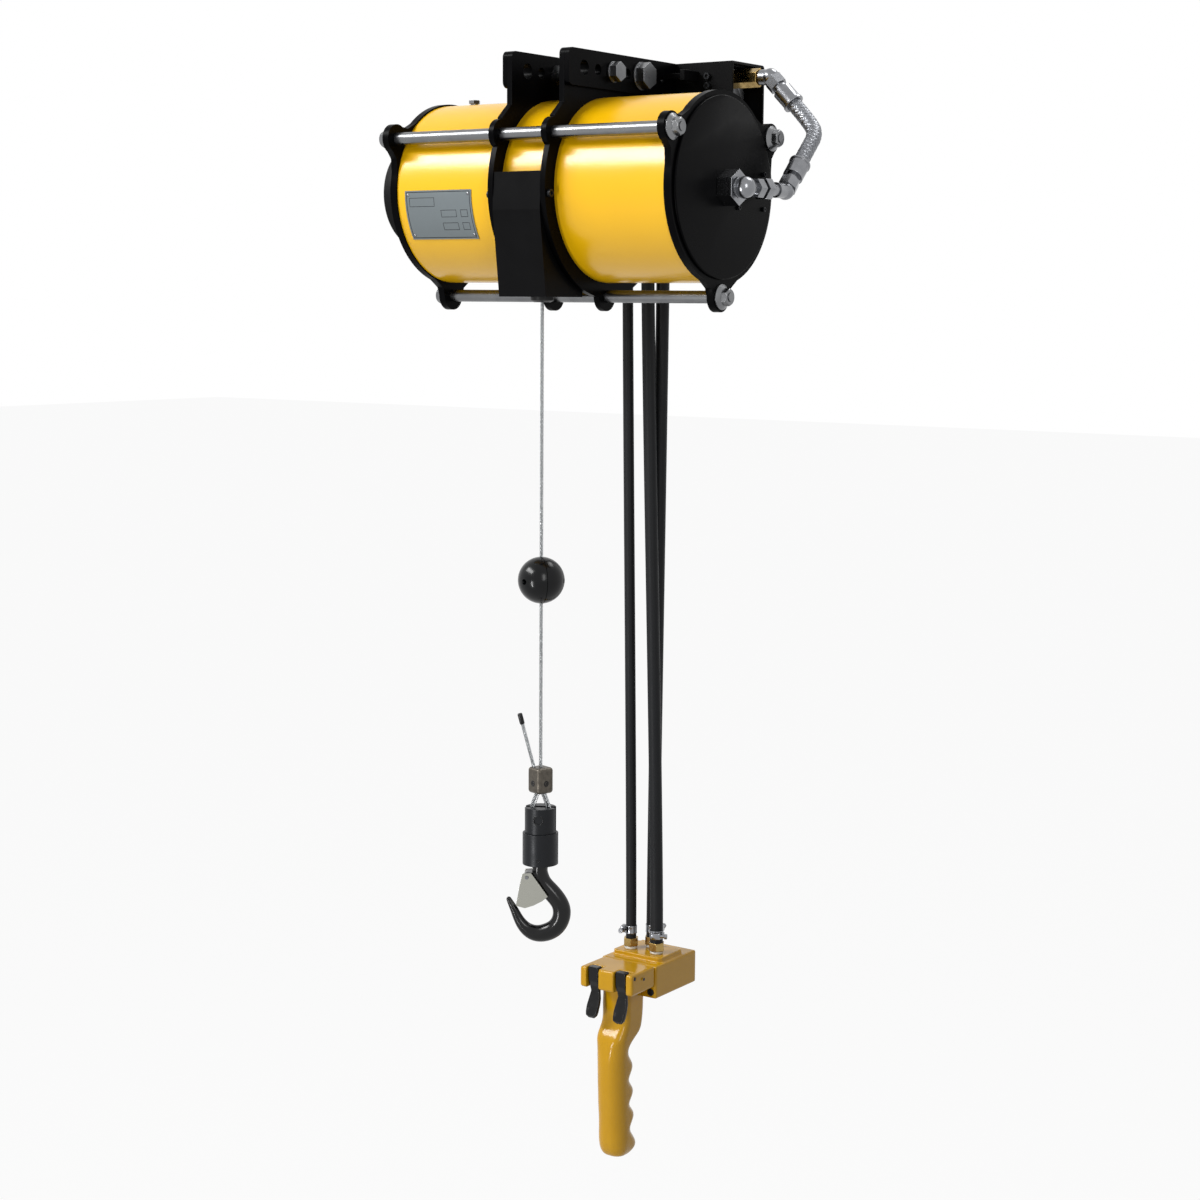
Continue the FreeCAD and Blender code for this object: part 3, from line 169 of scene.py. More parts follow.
finishes = {
    # gloss enamel sprayed on rolled tube: smooth, faint orange peel about 1.5 mm across
    "yellowEnamel": {"colour": "#EFB905", "second": "#E8B002", "roughness": 0.24, "spread": 0.03,
                     "specular": 0.55, "driftMm": 90, "grainMm": 1.6, "grainHeightMm": 0.02,
                     "grainStrength": 0.15},
    # black enamel on cut and cast plates: slight texture and soft gloss
    "blackEnamel": {"colour": "#020203", "second": "#040405", "roughness": 0.32, "spread": 0.06,
                    "specular": 0.03, "driftMm": 30, "grainMm": 1.1, "grainHeightMm": 0.05,
                    "grainStrength": 0.25},
    # powder coat on folded sheet: matt, fine even stipple
    "blackSheet": {"colour": "#040405", "second": "#070708", "roughness": 0.4, "spread": 0.05,
                   "specular": 0.06, "driftMm": 40, "grainMm": 0.9, "grainHeightMm": 0.06,
                   "grainStrength": 0.4},
    # crinkle paint on the end cap: coarse matt wrinkles
    "crinklePaint": {"colour": "#060607", "second": "#0C0C0D", "roughness": 0.55, "spread": 0.05,
                     "specular": 0.1, "driftMm": 20, "grainMm": 1.8, "grainHeightMm": 0.3,
                     "grainStrength": 0.8, "grainDetail": 5.0},
    # bright nickel plate on steel fittings: mirror with soft haze and dull patches
    "brightPlate": {"colour": "#A2A3A6", "second": "#5F6165", "metallic": 1.0, "roughness": 0.22,
                    "spread": 0.06, "driftMm": 22, "grainMm": 1.4, "grainHeightMm": 0.02,
                    "grainStrength": 0.12},
    # zinc plated rods, tubes and nuts: greyer, with handling marks
    "zincPlate": {"colour": "#8B8C8D", "second": "#5C5D60", "metallic": 1.0, "roughness": 0.3,
                  "spread": 0.06, "driftMm": 26, "grainMm": 1.6, "grainHeightMm": 0.02,
                  "grainStrength": 0.12},
    # wire of the braided cover: bright tops, dark between the carriers
    "braidWire": {"colour": "#8C8E92", "second": "#6C6E72", "metallic": 1.0, "roughness": 0.4,
                  "spread": 0.05, "driftMm": 8, "grainMm": 1.5, "grainHeightMm": 0.01,
                  "grainStrength": 0.1},
    # ground steel: satin, fine scratches along the bar
    "groundSteel": {"colour": "#8C8D90", "second": "#5E5F62", "metallic": 1.0, "roughness": 0.28,
                    "spread": 0.06, "driftMm": 10, "grainMm": 0.6, "stretch": (0.05, 1, 1),
                    "grainHeightMm": 0.02},
    # brass fittings: warm, a little tarnished in patches
    "brass": {"colour": "#B79C62", "second": "#8A7040", "metallic": 1.0, "roughness": 0.24, "spread": 0.1,
              "driftMm": 6, "grainMm": 0.5, "grainHeightMm": 0.02},
    # extruded hose rubber: dull black, faint wrap marks and dust
    "hoseRubber": {"colour": "#141517", "second": "#1E1F21", "roughness": 0.5, "spread": 0.08,
                   "specular": 0.15, "driftMm": 22, "grainMm": 0.7, "grainHeightMm": 0.08,
                   "grainStrength": 0.35},
    # enamel on a sand casting: soft gloss over an uneven skin
    "ochreEnamel": {"colour": "#C4930A", "second": "#B88806", "roughness": 0.16, "spread": 0.03,
                    "specular": 0.3, "driftMm": 18, "grainMm": 5.0, "grainHeightMm": 0.12,
                    "grainStrength": 0.25},
    # glass-filled nylon levers: dark, waxy, fine texture
    "leverNylon": {"colour": "#050506", "second": "#09090B", "roughness": 0.24, "spread": 0.04,
                   "specular": 0.26, "driftMm": 8, "grainMm": 0.5, "grainHeightMm": 0.04},
    # polished phenolic ball
    "ballPhenolic": {"colour": "#050608", "second": "#090A0C", "roughness": 0.2, "spread": 0.03,
                     "specular": 0.22, "driftMm": 20, "grainMm": 3.0, "grainHeightMm": 0.01},
    # black oxide on turned steel: soft satin, bluish grey
    "blackOxide": {"colour": "#17191D", "second": "#0E1013", "metallic": 0.3, "roughness": 0.38,
                   "spread": 0.06, "specular": 0.3, "driftMm": 9, "grainMm": 0.7, "grainHeightMm": 0.04},
    # dipped gloss enamel on the forged hook
    "hookEnamel": {"colour": "#030304", "second": "#050507", "roughness": 0.18, "spread": 0.03,
                   "specular": 0.32, "driftMm": 12, "grainMm": 2.5, "grainHeightMm": 0.05,
                   "grainStrength": 0.3},
    # stamped and zinc plated sheet: greyish, lightly brushed
    "zincSheet": {"colour": "#B0B0A8", "second": "#8A8A82", "metallic": 1.0, "roughness": 0.3,
                  "spread": 0.08, "driftMm": 8, "grainMm": 0.5, "stretch": (1, 1, 0.1),
                  "grainHeightMm": 0.02},
    # drawn galvanised wire
    "ropeWire": {"colour": "#B4B6B7", "second": "#6E7173", "metallic": 1.0, "roughness": 0.3,
                 "spread": 0.08, "driftMm": 3, "grainMm": 0.3, "grainHeightMm": 0.03},
    # cast zinc alloy clamp: dull, in patchy tones
    "castZinc": {"colour": "#6B655C", "second": "#37332E", "metallic": 0.8, "roughness": 0.42,
                 "spread": 0.12, "driftMm": 5, "grainMm": 1.2, "grainHeightMm": 0.16,
                 "grainStrength": 0.6},
    # brushed aluminium plate
    "plateAluminium": {"colour": "#7F878A", "second": "#6E7578", "metallic": 0.9, "roughness": 0.36,
                       "spread": 0.05, "driftMm": 30, "grainMm": 0.4, "stretch": (0.04, 1, 1),
                       "grainHeightMm": 0.02},
    # anodised aluminium block
    "anodised": {"colour": "#8A8B8D", "second": "#77787A", "metallic": 1.0, "roughness": 0.36,
                 "spread": 0.05, "driftMm": 20, "grainMm": 0.8, "grainHeightMm": 0.02},
    # thread seal tape: dead white, torn edges
    "sealTape": {"colour": "#E4E4DF", "second": "#CFCFC8", "roughness": 0.6, "spread": 0.05, "driftMm": 3,
                 "grainMm": 0.6, "stretch": (1, 1, 4), "grainHeightMm": 0.1, "grainStrength": 0.6},
    # acetal guide bush
    "acetal": {"colour": "#0E0E0F", "second": "#151516", "roughness": 0.4, "spread": 0.05,
               "specular": 0.3, "driftMm": 6, "grainMm": 0.8, "grainHeightMm": 0.02},
}
materials = {name: patterned(name, look) for name, look in finishes.items()}

nodeFinish = {
    "yellowEnamel": ["left_shell", "reel_housing", "right_shell"],
    "blackEnamel": ["left_end_plate", "right_end_plate", "left_ring_plate", "right_ring_plate",
                    "hanger_bars"],
    "blackSheet": ["rope_guard", "box_front_plate", "box_cover", "box_stay"],
    "crinklePaint": ["screw_end_cap"],
    "brightPlate": ["hose_elbows", "hose_ferrules", "swivel_fittings", "swivel_body", "hose_bands"],
    "braidWire": ["braided_hose"],
    "zincPlate": ["tie_rods", "spacer_tubes", "tie_rod_nuts", "suspension_bolts", "breather_plug"],
    "groundSteel": ["ball_screw", "ball_nut", "thrust_bearing", "swivel_bearing", "latch_pin",
                    "lever_pin", "up_plunger", "down_plunger"],
    "brass": ["box_outlet_fitting", "hose_tails"],
    "hoseRubber": ["left_hose", "right_hose", "rear_hose", "stop_bumpers", "piston_seal"],
    "ochreEnamel": ["handle_body", "handle_valve_housing"],
    "leverNylon": ["up_lever", "down_lever"],
    "ballPhenolic": ["stop_ball"],
    "blackOxide": ["small_screws", "swivel_clevis", "swivel_cap", "clevis_pin"],
    "hookEnamel": ["hook"],
    "zincSheet": ["hook_latch"],
    "ropeWire": ["wound_rope", "lifting_rope", "rope_tail", "rope_loop"],
    "castZinc": ["rope_clamp"],
    "plateAluminium": ["name_plate"],
    "anodised": ["valve_manifold", "piston", "reel"],
    "acetal": ["rope_guide"],
}
for finish, names in nodeFinish.items():
    for name in names:
        data = nodes[name].data
        data.materials.clear()
        data.materials.append(materials[finish])
print("finishes set on the fixed solids")


# camera

view = {"turn": 34.8, "dip": 7.65, "roll": 0.4, "focal": 66.978, "distance": 2521.0,
        "across": 23.3, "lift": -461.0}
turn, dip, roll = (math.radians(view[k]) for k in ("turn", "dip", "roll"))
ahead = np.array([-math.sin(turn) * math.cos(dip), math.cos(turn) * math.cos(dip), -math.sin(dip)])
level = np.array([math.cos(turn), math.sin(turn), 0.0])
upright = np.cross(level, ahead)
sideways = math.cos(roll) * level + math.sin(roll) * upright
upwards = -math.sin(roll) * level + math.cos(roll) * upright
spot = -ahead * view["distance"] + sideways * view["across"] + upwards * view["lift"]
cameraData = bpy.data.cameras.new("camera")
cameraData.sensor_width = 36.0
cameraData.lens = view["focal"]
camera = bpy.data.objects.new("camera", cameraData)
bpy.context.scene.collection.objects.link(camera)
pose = Matrix.Identity(4)
for column, axis in enumerate((sideways, upwards, -ahead)):
    for row in range(3):
        pose[row][column] = axis[row]
pose.translation = Vector(fromAxis(*spot))
camera.matrix_world = pose
bpy.context.scene.camera = camera
print("camera placed")


# surfaces

def addMesh(name, points, faces, material, smooth=True):
    mesh = bpy.data.meshes.new(name)
    mesh.from_pydata(points.tolist(), [], faces.tolist() if isinstance(faces, np.ndarray) else faces)
    mesh.update()
    mesh.polygons.foreach_set("use_smooth", np.full(len(mesh.polygons), smooth))
    mesh.materials.append(materials[material])
    thing = bpy.data.objects.new(name, mesh)
    bpy.context.scene.collection.objects.link(thing)
    return thing


def gridFaces(rows, columns, closeRows=False, closeColumns=False, start=0):
    # quads between neighbouring rows and columns of a point grid, wrapping where it closes
    r = np.arange(rows if closeRows else rows - 1)
    c = np.arange(columns if closeColumns else columns - 1)
    r, c = np.meshgrid(r, c, indexing="ij")
    nextR, nextC = (r + 1) % rows, (c + 1) % columns
    quads = np.stack([r * columns + c, r * columns + nextC, nextR * columns + nextC, nextR * columns + c], -1)
    return quads.reshape(-1, 4) + start


def joined(parts):
    # several (points, faces) pairs as one
    points, faces, count = [], [], 0
    for p, f in parts:
        points.append(np.asarray(p).reshape(-1, 3))
        faces += [[i + count for i in face] for face in (f.tolist() if isinstance(f, np.ndarray) else f)]
        count += len(points[-1])
    return np.concatenate(points), faces


def framesAlong(path):
    # at each point of a path: its direction and two cross directions carried along without twist
    ahead = np.gradient(path, axis=0)
    ahead /= np.linalg.norm(ahead, axis=1)[:, None]
    side = np.empty_like(ahead)
    first = np.array([1.0, 0, 0]) if abs(ahead[0][0]) < 0.9 else np.array([0, 1.0, 0])
    side[0] = unit(np.cross(ahead[0], first))
    for i in range(1, len(path)):
        side[i] = unit(side[i - 1] - ahead[i] * (side[i - 1] @ ahead[i]))
    return ahead, side, np.cross(ahead, side)


def tubeGrid(path, radius, sides=12):
    # a round section carried along a path: centre + radius (cos a side + sin a cross)
    ahead, side, cross = framesAlong(path)
    a = np.linspace(0, 2 * np.pi, sides, endpoint=False)
    radius = np.broadcast_to(np.asarray(radius, float), (len(path),))[:, None, None]
    ring = np.cos(a)[None, :, None] * side[:, None] + np.sin(a)[None, :, None] * cross[:, None]
    points = path[:, None] + radius * ring
    faces = gridFaces(len(path), sides, closeColumns=True).tolist()
    faces.append(list(range(sides))[::-1])
    faces.append([(len(path) - 1) * sides + i for i in range(sides)])
    return points.reshape(-1, 3), faces


def turnedGrid(profile, origin, axis, sides=64, closed=True):
    # a profile of (along, radius) turned about an axis: origin + along axis + radius (cos a u + sin a v)
    axis = unit(axis)
    u = unit(np.cross(axis, [0, 0, 1.0] if abs(axis[2]) < 0.9 else [1.0, 0, 0]))
    v = np.cross(axis, u)
    profile = np.asarray(profile, float)
    a = np.linspace(0, 2 * np.pi, sides, endpoint=False)
    ring = np.cos(a)[:, None] * u + np.sin(a)[:, None] * v
    along, radius = profile[:, 0][:, None, None], profile[:, 1][:, None, None]
    points = np.asarray(origin) + along * axis + radius * ring[None]
    faces = gridFaces(len(profile), sides, closeRows=closed, closeColumns=True)
    return points.reshape(-1, 3), faces[:, ::-1]


def routeLine(name, points):
    # a cord's curve: a quadratic spline steered by its route's points, from the first to the last
    curve = bpy.data.curves.new(name, "CURVE")
    curve.dimensions = "3D"
    spline = curve.splines.new("NURBS")
    spline.points.add(len(points) - 1)
    for i, p in enumerate(points):
        spline.points[i].co = (*p, 1)
    spline.order_u = 3
    spline.use_endpoint_u = True
    spline.resolution_u = 40
    return curve


def lineOf(curve, spacing):
    # evenly spaced points along a spline
    holder = bpy.data.objects.new("line", curve)
    bpy.context.scene.collection.objects.link(holder)
    mesh = bpy.data.meshes.new_from_object(holder)
    raw = np.array([v.co[:] for v in mesh.vertices])
    bpy.data.objects.remove(holder)
    bpy.data.meshes.remove(mesh)
    gaps = np.r_[0, np.cumsum(np.linalg.norm(np.diff(raw, axis=0), axis=1))]
    keep = np.r_[True, np.diff(gaps) > 1e-9]
    raw, gaps = raw[keep], gaps[keep]
    at = np.linspace(0, gaps[-1], max(2, int(gaps[-1] / spacing)))
    return np.stack([np.interp(at, gaps, raw[:, k]) for k in range(3)], 1), gaps[-1]


# control hoses

hoseLine = {"topZ": 62, "footZ": -909, "straightTop": 0.11, "straightFoot": 0.09, "clampInset": 10.5}
hoses = {
    "left_hose": {"top": (-43, 160), "foot": (-28, 160), "radius": 6.5, "length": 0.971},
    "right_hose": {"top": (-15, 160), "foot": (10, 160), "radius": 8.0, "length": 0.971},
    "rear_hose": {"top": (-2, 178), "foot": (-9, 180), "radius": 8.0, "length": 0.971},
}
for name, hose in hoses.items():
    top = fromAxis(*hose["top"], hoseLine["topZ"])
    foot = fromAxis(*hose["foot"], hoseLine["footZ"])
    route = [top, top - [0, 0, hoseLine["straightTop"]], foot + [0, 0, hoseLine["straightFoot"]], foot]
    curve = routeLine(name + "_rubber", route)
    curve.bevel_depth = hose["radius"] * mm
    curve.bevel_resolution = 8
    curve.use_fill_caps = True
    curve.materials.append(materials["hoseRubber"])
    piece = bpy.data.objects.new(name + "_rubber", curve)
    bpy.context.scene.collection.objects.link(piece)
    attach(piece, "frame")
    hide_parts(name)
print("control hoses hung")


# wire rope

def strandGrids(path, ropeRadius, lay, strands=6, sides=8):
    # six strands laid round a core: each runs at two thirds of the rope's radius, one turn per lay
    core = ropeRadius / 3
    ahead, side, cross = framesAlong(path)
    run = np.r_[0, np.cumsum(np.linalg.norm(np.diff(path, axis=0), axis=1))]
    grids = [tubeGrid(path, core * 1.15, 8)]
    for k in range(strands):
        a = 2 * np.pi * (run / lay + k / strands)
        middle = path + (ropeRadius - core) * (np.cos(a)[:, None] * side + np.sin(a)[:, None] * cross)
        grids.append(tubeGrid(middle, core, sides))
    return grids


rope = {"radius": 2.0, "lay": 26.0, "topZ": -2.4, "footZ": -671.0}
ropeTop = fromAxis(0, ropeY, rope["topZ"])
ropeFoot = fromAxis(0, ropeY, rope["footZ"])
ropeLine = ropeTop + np.linspace(0, 1, 420)[:, None] * (ropeFoot - ropeTop)
points, faces = joined(strandGrids(ropeLine, rope["radius"] * mm, rope["lay"] * mm))
piece = addMesh("lifting_rope_strands", points, faces, "ropeWire")
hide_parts("lifting_rope")
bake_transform(piece, "frame", "rope_end", start=ropeTop.tolist(), end=ropeFoot.tolist())

# the loop round the thimble, and the thimble's grooved eye
clamp = {"top": -650, "low": -680}
pinZ = -709
loopRoute = [atRope(2.4, 0, clamp["low"] + 4), atRope(12.0, 0, pinZ + 12), atRope(12.2, 0, pinZ - 12.2),
             atRope(-12.2, 0, pinZ - 12.2), atRope(-12.0, 0, pinZ + 12), atRope(-2.4, 0, clamp["low"] + 4)]
loopLine, _ = lineOf(routeLine("loopRoute", loopRoute), 0.0012)
across = unit(atRope(0, 1, 0) - atRope(0, 0, 0))
upAxis = np.array([0.0, 0, 1])
eye = [(-3, 4.6), (-3, 9.6), (-2.2, 10.2), (-1.2, 9.2), (0, 8.7), (1.2, 9.2), (2.2, 10.2), (3, 9.6), (3, 4.6)]
grids = strandGrids(loopLine, 2.0 * mm, 24 * mm)
grids.append(turnedGrid(np.array(eye) * mm, atRope(0, 0, pinZ), across, 48))
thimbleRoute = [atRope(1.2, 0, clamp["low"] - 1), atRope(9.2, 0, pinZ + 9), atRope(9.9, 0, pinZ - 10.1),
                atRope(-9.9, 0, pinZ - 10.1), atRope(-9.2, 0, pinZ + 9), atRope(-1.2, 0, clamp["low"] - 1)]
thimbleLine, _ = lineOf(routeLine("thimbleRoute", thimbleRoute), 0.001)
lip = np.array([(-3.4, 0.9), (-2.6, 0), (2.6, 0), (3.4, 0.9), (2.4, -0.8), (-2.4, -0.8)]) * mm
centre = atRope(0, 0, pinZ)
outward = thimbleLine - centre
outward /= np.linalg.norm(outward, axis=1)[:, None]
shell = thimbleLine[:, None] + lip[None, :, :1] * across + lip[None, :, 1:] * outward[:, None]
grids.append((shell.reshape(-1, 3), gridFaces(len(thimbleLine), len(lip), closeColumns=True)))
points, faces = joined(grids)
piece = addMesh("rope_loop_strands", points, faces, "ropeWire")
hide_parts("rope_loop")
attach(piece, "rope_end")

# the rope's cut tail with its shrunk cap
tailWay = unit(atRope(-20, -4, clamp["top"] + 62) - atRope(-4.2, 0, clamp["top"]))
tailRoot = atRope(-4.2, 0, clamp["top"] - 14)
tailLine = tailRoot + np.linspace(0, 76 * mm, 70)[:, None] * tailWay
points, faces = joined(strandGrids(tailLine, 2.0 * mm, 24 * mm))
piece = addMesh("rope_tail_strands", points, faces, "ropeWire")
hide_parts("rope_tail")
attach(piece, "rope_end")
cap = [(66, 2.1), (66.4, 2.75), (69, 2.9), (77.6, 2.85), (78.8, 2.3), (79, 0.01)]
points, faces = turnedGrid(np.array(cap) * mm, tailRoot, tailWay, 24, closed=False)
piece = addMesh("rope_tail_cap", points, faces, "leverNylon")
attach(piece, "rope_end")
print("rope laid")


# cast and turned pieces with broken edges


def mergedCopy(name, suffix, flatten=False):
    # a solid's mesh with its doubled corners merged, and its flat faces made one where asked
    mesh = nodes[name].data.copy()
    work = bmesh.new()
    work.from_mesh(mesh)
    bmesh.ops.remove_doubles(work, verts=work.verts, dist=mergeGap)
    if flatten:
        bmesh.ops.dissolve_limit(work, angle_limit=math.radians(0.6), verts=work.verts, edges=work.edges)
    work.to_mesh(mesh)
    work.free()
    copy = bpy.data.objects.new(name + suffix, mesh)
    bpy.context.scene.collection.objects.link(copy)
    return copy


def standFor(copy, name):
    # the copy takes the node's place, on the node's own body
    body = body_of(nodes[name])[0]
    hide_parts(name)
    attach(copy, body)


def brokenEdges(name, width, segments=2, angle=32):
    # a merged copy of a solid with its sharp edges rounded over
    copy = mergedCopy(name, "_eased", flatten=True)
    mesh = copy.data
    mesh.polygons.foreach_set("use_smooth", np.full(len(mesh.polygons), True))
    mesh.set_sharp_from_angle(angle=math.radians(28))
    bevel = copy.modifiers.new("ease", "BEVEL")
    bevel.width = width * mm
    bevel.segments = segments
    bevel.limit_method = "ANGLE"
    bevel.angle_limit = math.radians(angle)
    bevel.harden_normals = True
    bevel.use_clamp_overlap = True
    standFor(copy, name)


def castSkin(name, voxel, passes):
    # a casting's soft edges: the solid rebuilt in small even facets, then smoothed
    copy = mergedCopy(name, "_cast")
    remesh = copy.modifiers.new("facets", "REMESH")
    remesh.mode = "VOXEL"
    remesh.voxel_size = voxel * mm
    remesh.use_smooth_shade = True
    smooth = copy.modifiers.new("soften", "SMOOTH")
    smooth.factor = 0.5
    smooth.iterations = passes
    standFor(copy, name)
    return copy


heaviest = 9000  # polygons; the edges of a finer mesh are left to its own facets
eased = {"left_end_plate": 1.2, "right_end_plate": 1.2, "left_ring_plate": 0.8, "right_ring_plate": 0.8,
         "hanger_bars": 0.8, "tie_rod_nuts": 0.4, "suspension_bolts": 0.5, "swivel_fittings": 0.6,
         "hose_tails": 0.5, "hose_ferrules": 0.5, "box_outlet_fitting": 0.5, "rope_clamp": 0.6,
         "screw_end_cap": 1.2, "swivel_clevis": 0.7, "swivel_cap": 0.7, "box_stay": 0.5,
         "box_front_plate": 0.4, "box_cover": 0.4, "hook_latch": 0.25, "small_screws": 0.3,
         "valve_manifold": 0.8, "breather_plug": 0.4}
for name, width in eased.items():
    if len(nodes[name].data.polygons) < heaviest:
        brokenEdges(name, width)
for name, voxel, passes in (("handle_body", 1.1, 4), ("handle_valve_housing", 1.1, 3)):
    castSkin(name, voxel, passes)

# moulded levers: a fine skin, narrowed at the bend and spread to a rounded paddle below it;
# drop is the depth below the pivot, and the finger dish is a parabola across the lever
lever = {"up_lever": {"middle": -29.0}, "down_lever": {"middle": 11.0}}
paddle = {"pivotY": 84, "pivotZ": -934, "voxel": 0.5, "passes": 14, "dishDepth": 0.7, "dishHalf": 6.5,
          "drop": [-6, 18, 25, 34, 42, 50, 54, 57.6],
          "width": [0.97, 0.97, 0.84, 1.05, 1.14, 1.1, 0.98, 0.62],
          "dishDrop": [30, 38, 48, 54], "dish": [0, 1.0, 1.0, 0], "backDrop": [30, 57], "back": [0, -6]}
axisPoint = np.array([0, 55, -130])
for name, shape in lever.items():
    skin = castSkin(name, paddle["voxel"], paddle["passes"])
    shaped = bpy.data.meshes.new_from_object(skin.evaluated_get(bpy.context.evaluated_depsgraph_get()))
    skin.modifiers.clear()
    skin.data = shaped
    co = np.empty(len(shaped.vertices) * 3)
    shaped.vertices.foreach_get("co", co)
    co = co.reshape(-1, 3) / mm - axisPoint
    drop = paddle["pivotZ"] - co[:, 2]
    middle = shape["middle"]
    co[:, 0] = middle + (co[:, 0] - middle) * np.interp(drop, paddle["drop"], paddle["width"])
    crown = np.clip(1 - ((co[:, 0] - middle) / paddle["dishHalf"]) ** 2, 0, 1)
    dish = np.interp(drop, paddle["dishDrop"], paddle["dish"]) * crown
    front = co[:, 1] < paddle["pivotY"] + np.interp(drop, paddle["backDrop"], paddle["back"])
    co[:, 1] += paddle["dishDepth"] * dish * front
    shaped.vertices.foreach_set("co", ((co + axisPoint) * mm).ravel())
    shaped.update()
print("edges eased")


# braided hose

braid = {"radius": 9.0, "carriers": 12, "lay": 58.0, "fitting": 34, "upper": 44, "lower": 38,
         "bow": (5, 2, 0)}
lowEnd, highEnd = fromAxis(218, 86, 0), fromAxis(150, 165, 133)
upWay, downWay = unit([0, 1, 1]), unit([1, 0, -1])
first = highEnd + downWay * braid["fitting"] * mm
last = lowEnd + upWay * braid["fitting"] * mm
upperCorner = first + downWay * braid["upper"] * mm
lowerCorner = last + upWay * braid["lower"] * mm
middle = (upperCorner + lowerCorner) / 2 + np.array(braid["bow"]) * mm
braidRoute = [first, upperCorner, middle, lowerCorner, last]
braidLine, braidLength = lineOf(routeLine("braidRoute", braidRoute), 0.0006)


def braidGrids(path, radius, carriers, lay):
    # ribbons wound both ways: angle = +-2 pi run / lay + 2 pi k / n, rising over and sinking under each
    # crossing as cos(n other / 2 + pi k), where other is the angle of the ribbons that run the other way
    ahead, side, cross = framesAlong(path)
    run = np.r_[0, np.cumsum(np.linalg.norm(np.diff(path, axis=0), axis=1))]
    spin = 2 * np.pi * run / lay
    halfWide = 2 * np.pi * radius / carriers * 0.44
    grids = [tubeGrid(path[::4], radius * 0.87, 28)]
    across = np.linspace(-1, 1, 5)
    for way in (1, -1):
        for k in range(carriers):
            angle = way * spin + 2 * np.pi * k / carriers
            other = angle + way * -2 * spin
            phase = carriers * other / 2 + math.pi * (k + (way < 0))
            height = radius * (0.93 + 0.035 * np.cos(phase))
            a = angle[:, None] + across[None] * halfWide / radius
            lift = height[:, None] + radius * 0.03 * np.sqrt(np.maximum(0, 1 - across ** 2))[None]
            ring = np.cos(a)[..., None] * side[:, None] + np.sin(a)[..., None] * cross[:, None]
            points = path[:, None] + lift[..., None] * ring
            grids.append((points.reshape(-1, 3), gridFaces(len(path), 5)))
    return grids


points, faces = joined(braidGrids(braidLine, braid["radius"] * mm, braid["carriers"], braid["lay"] * mm))
piece = addMesh("braided_hose_cover", points, faces, "braidWire")
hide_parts("braided_hose")
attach(piece, "frame")
print("hose braided")


# hose clamps and seal tape

def roundedBox(centre, axes, size, corner, steps=4):
    # a box with rounded corners, as an offset of a smaller box: centre + inner corner + corner * direction
    a, b, c = (unit(v) for v in axes)
    half = np.maximum(np.asarray(size, float) / 2 - corner, 0)
    u = np.linspace(-np.pi / 2, np.pi / 2, 2 * steps)
    v = np.linspace(-np.pi, np.pi, 4 * steps, endpoint=False) + np.pi / (4 * steps)
    uu, vv = np.meshgrid(u, v, indexing="ij")
    ways = np.stack([np.cos(uu) * np.cos(vv), np.cos(uu) * np.sin(vv), np.sin(uu)], -1)
    signs = np.where(ways >= 0, 1.0, -1.0)
    local = signs * half + ways * corner
    points = np.asarray(centre) + local[..., :1] * a + local[..., 1:2] * b + local[..., 2:] * c
    faces = gridFaces(len(u), len(v), closeColumns=True).tolist()
    faces.append(list(range(len(v)))[::-1])
    faces.append([(len(u) - 1) * len(v) + i for i in range(len(v))])
    return points.reshape(-1, 3), faces


def wormClamp(centre, radius, turn):
    # a band round the hose with a screw housing on one side, its screw, and the band's free end
    out = np.array([math.cos(turn), math.sin(turn), 0])
    along = np.array([-math.sin(turn), math.cos(turn), 0])
    r = radius * mm
    band = [(-5, 0.05), (-5, 0.75), (-4.3, 0.95), (-3.2, 0.7), (3.2, 0.7), (4.3, 0.95), (5, 0.75), (5, 0.05)]
    grids = [turnedGrid(np.array(band) * mm + [0, r], centre, upAxis, 48)]
    seat = centre + out * (r + 3.2 * mm)
    grids.append(roundedBox(seat, (along, out, upAxis), np.array([11, 6, 8.6]) * mm, 1.4 * mm))
    screw = [(5.2, 0.01), (5.2, 2.2), (10.4, 2.2), (10.8, 3.4), (13.6, 3.4), (14.2, 2.8), (14.2, 1.2),
             (13.0, 1.1), (13.0, 0.01)]
    grids.append(turnedGrid(np.array(screw) * mm, seat, along, 6, closed=False))
    a = turn + np.linspace(0.1, 1.25, 14)
    reach = r + np.linspace(1.4, 2.6, len(a))[:, None] * mm
    ringPath = centre + np.stack([np.cos(a), np.sin(a), 0 * a], -1) * reach
    tip = np.stack([ringPath + upAxis * h * mm for h in (-3.8, 3.8)], 1)
    thick = unit(out) * 0.5 * mm
    shell = np.concatenate([tip, tip[:, ::-1] + thick], 1)
    grids.append((shell.reshape(-1, 3), gridFaces(len(a), 4, closeColumns=True)))
    return grids


clampTurns = {"left_hose": (math.radians(196), math.radians(210)),
              "right_hose": (math.radians(-62), math.radians(-40)),
              "rear_hose": (math.radians(20), math.radians(35))}
padTopZ = -923  # the raised pad on the valve housing, where the tails screw in
grids, tape = [], []
for name, hose in hoses.items():
    low, high = clampTurns[name]
    lowZ = hoseLine["footZ"] + hoseLine["clampInset"]
    highZ = hoseLine["topZ"] - hoseLine["clampInset"]
    grids += wormClamp(fromAxis(*hose["foot"], lowZ), hose["radius"], low)
    grids += wormClamp(fromAxis(*hose["top"], highZ), hose["radius"], high)
    ring = [(0.2, 7.05), (0.1, 7.9), (1.6, 8.1), (3.2, 7.8), (3.6, 7.05)]
    tape.append(turnedGrid(np.array(ring) * mm, fromAxis(*hose["foot"], padTopZ), upAxis, 40))
points, faces = joined(grids)
piece = addMesh("worm_clamps", points, faces, "brightPlate")
piece.data.set_sharp_from_angle(angle=math.radians(35))
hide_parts("hose_bands")
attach(piece, "frame")
points, faces = joined(tape)
piece = addMesh("seal_tape", points, faces, "sealTape")
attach(piece, "frame")
print("hoses clamped")


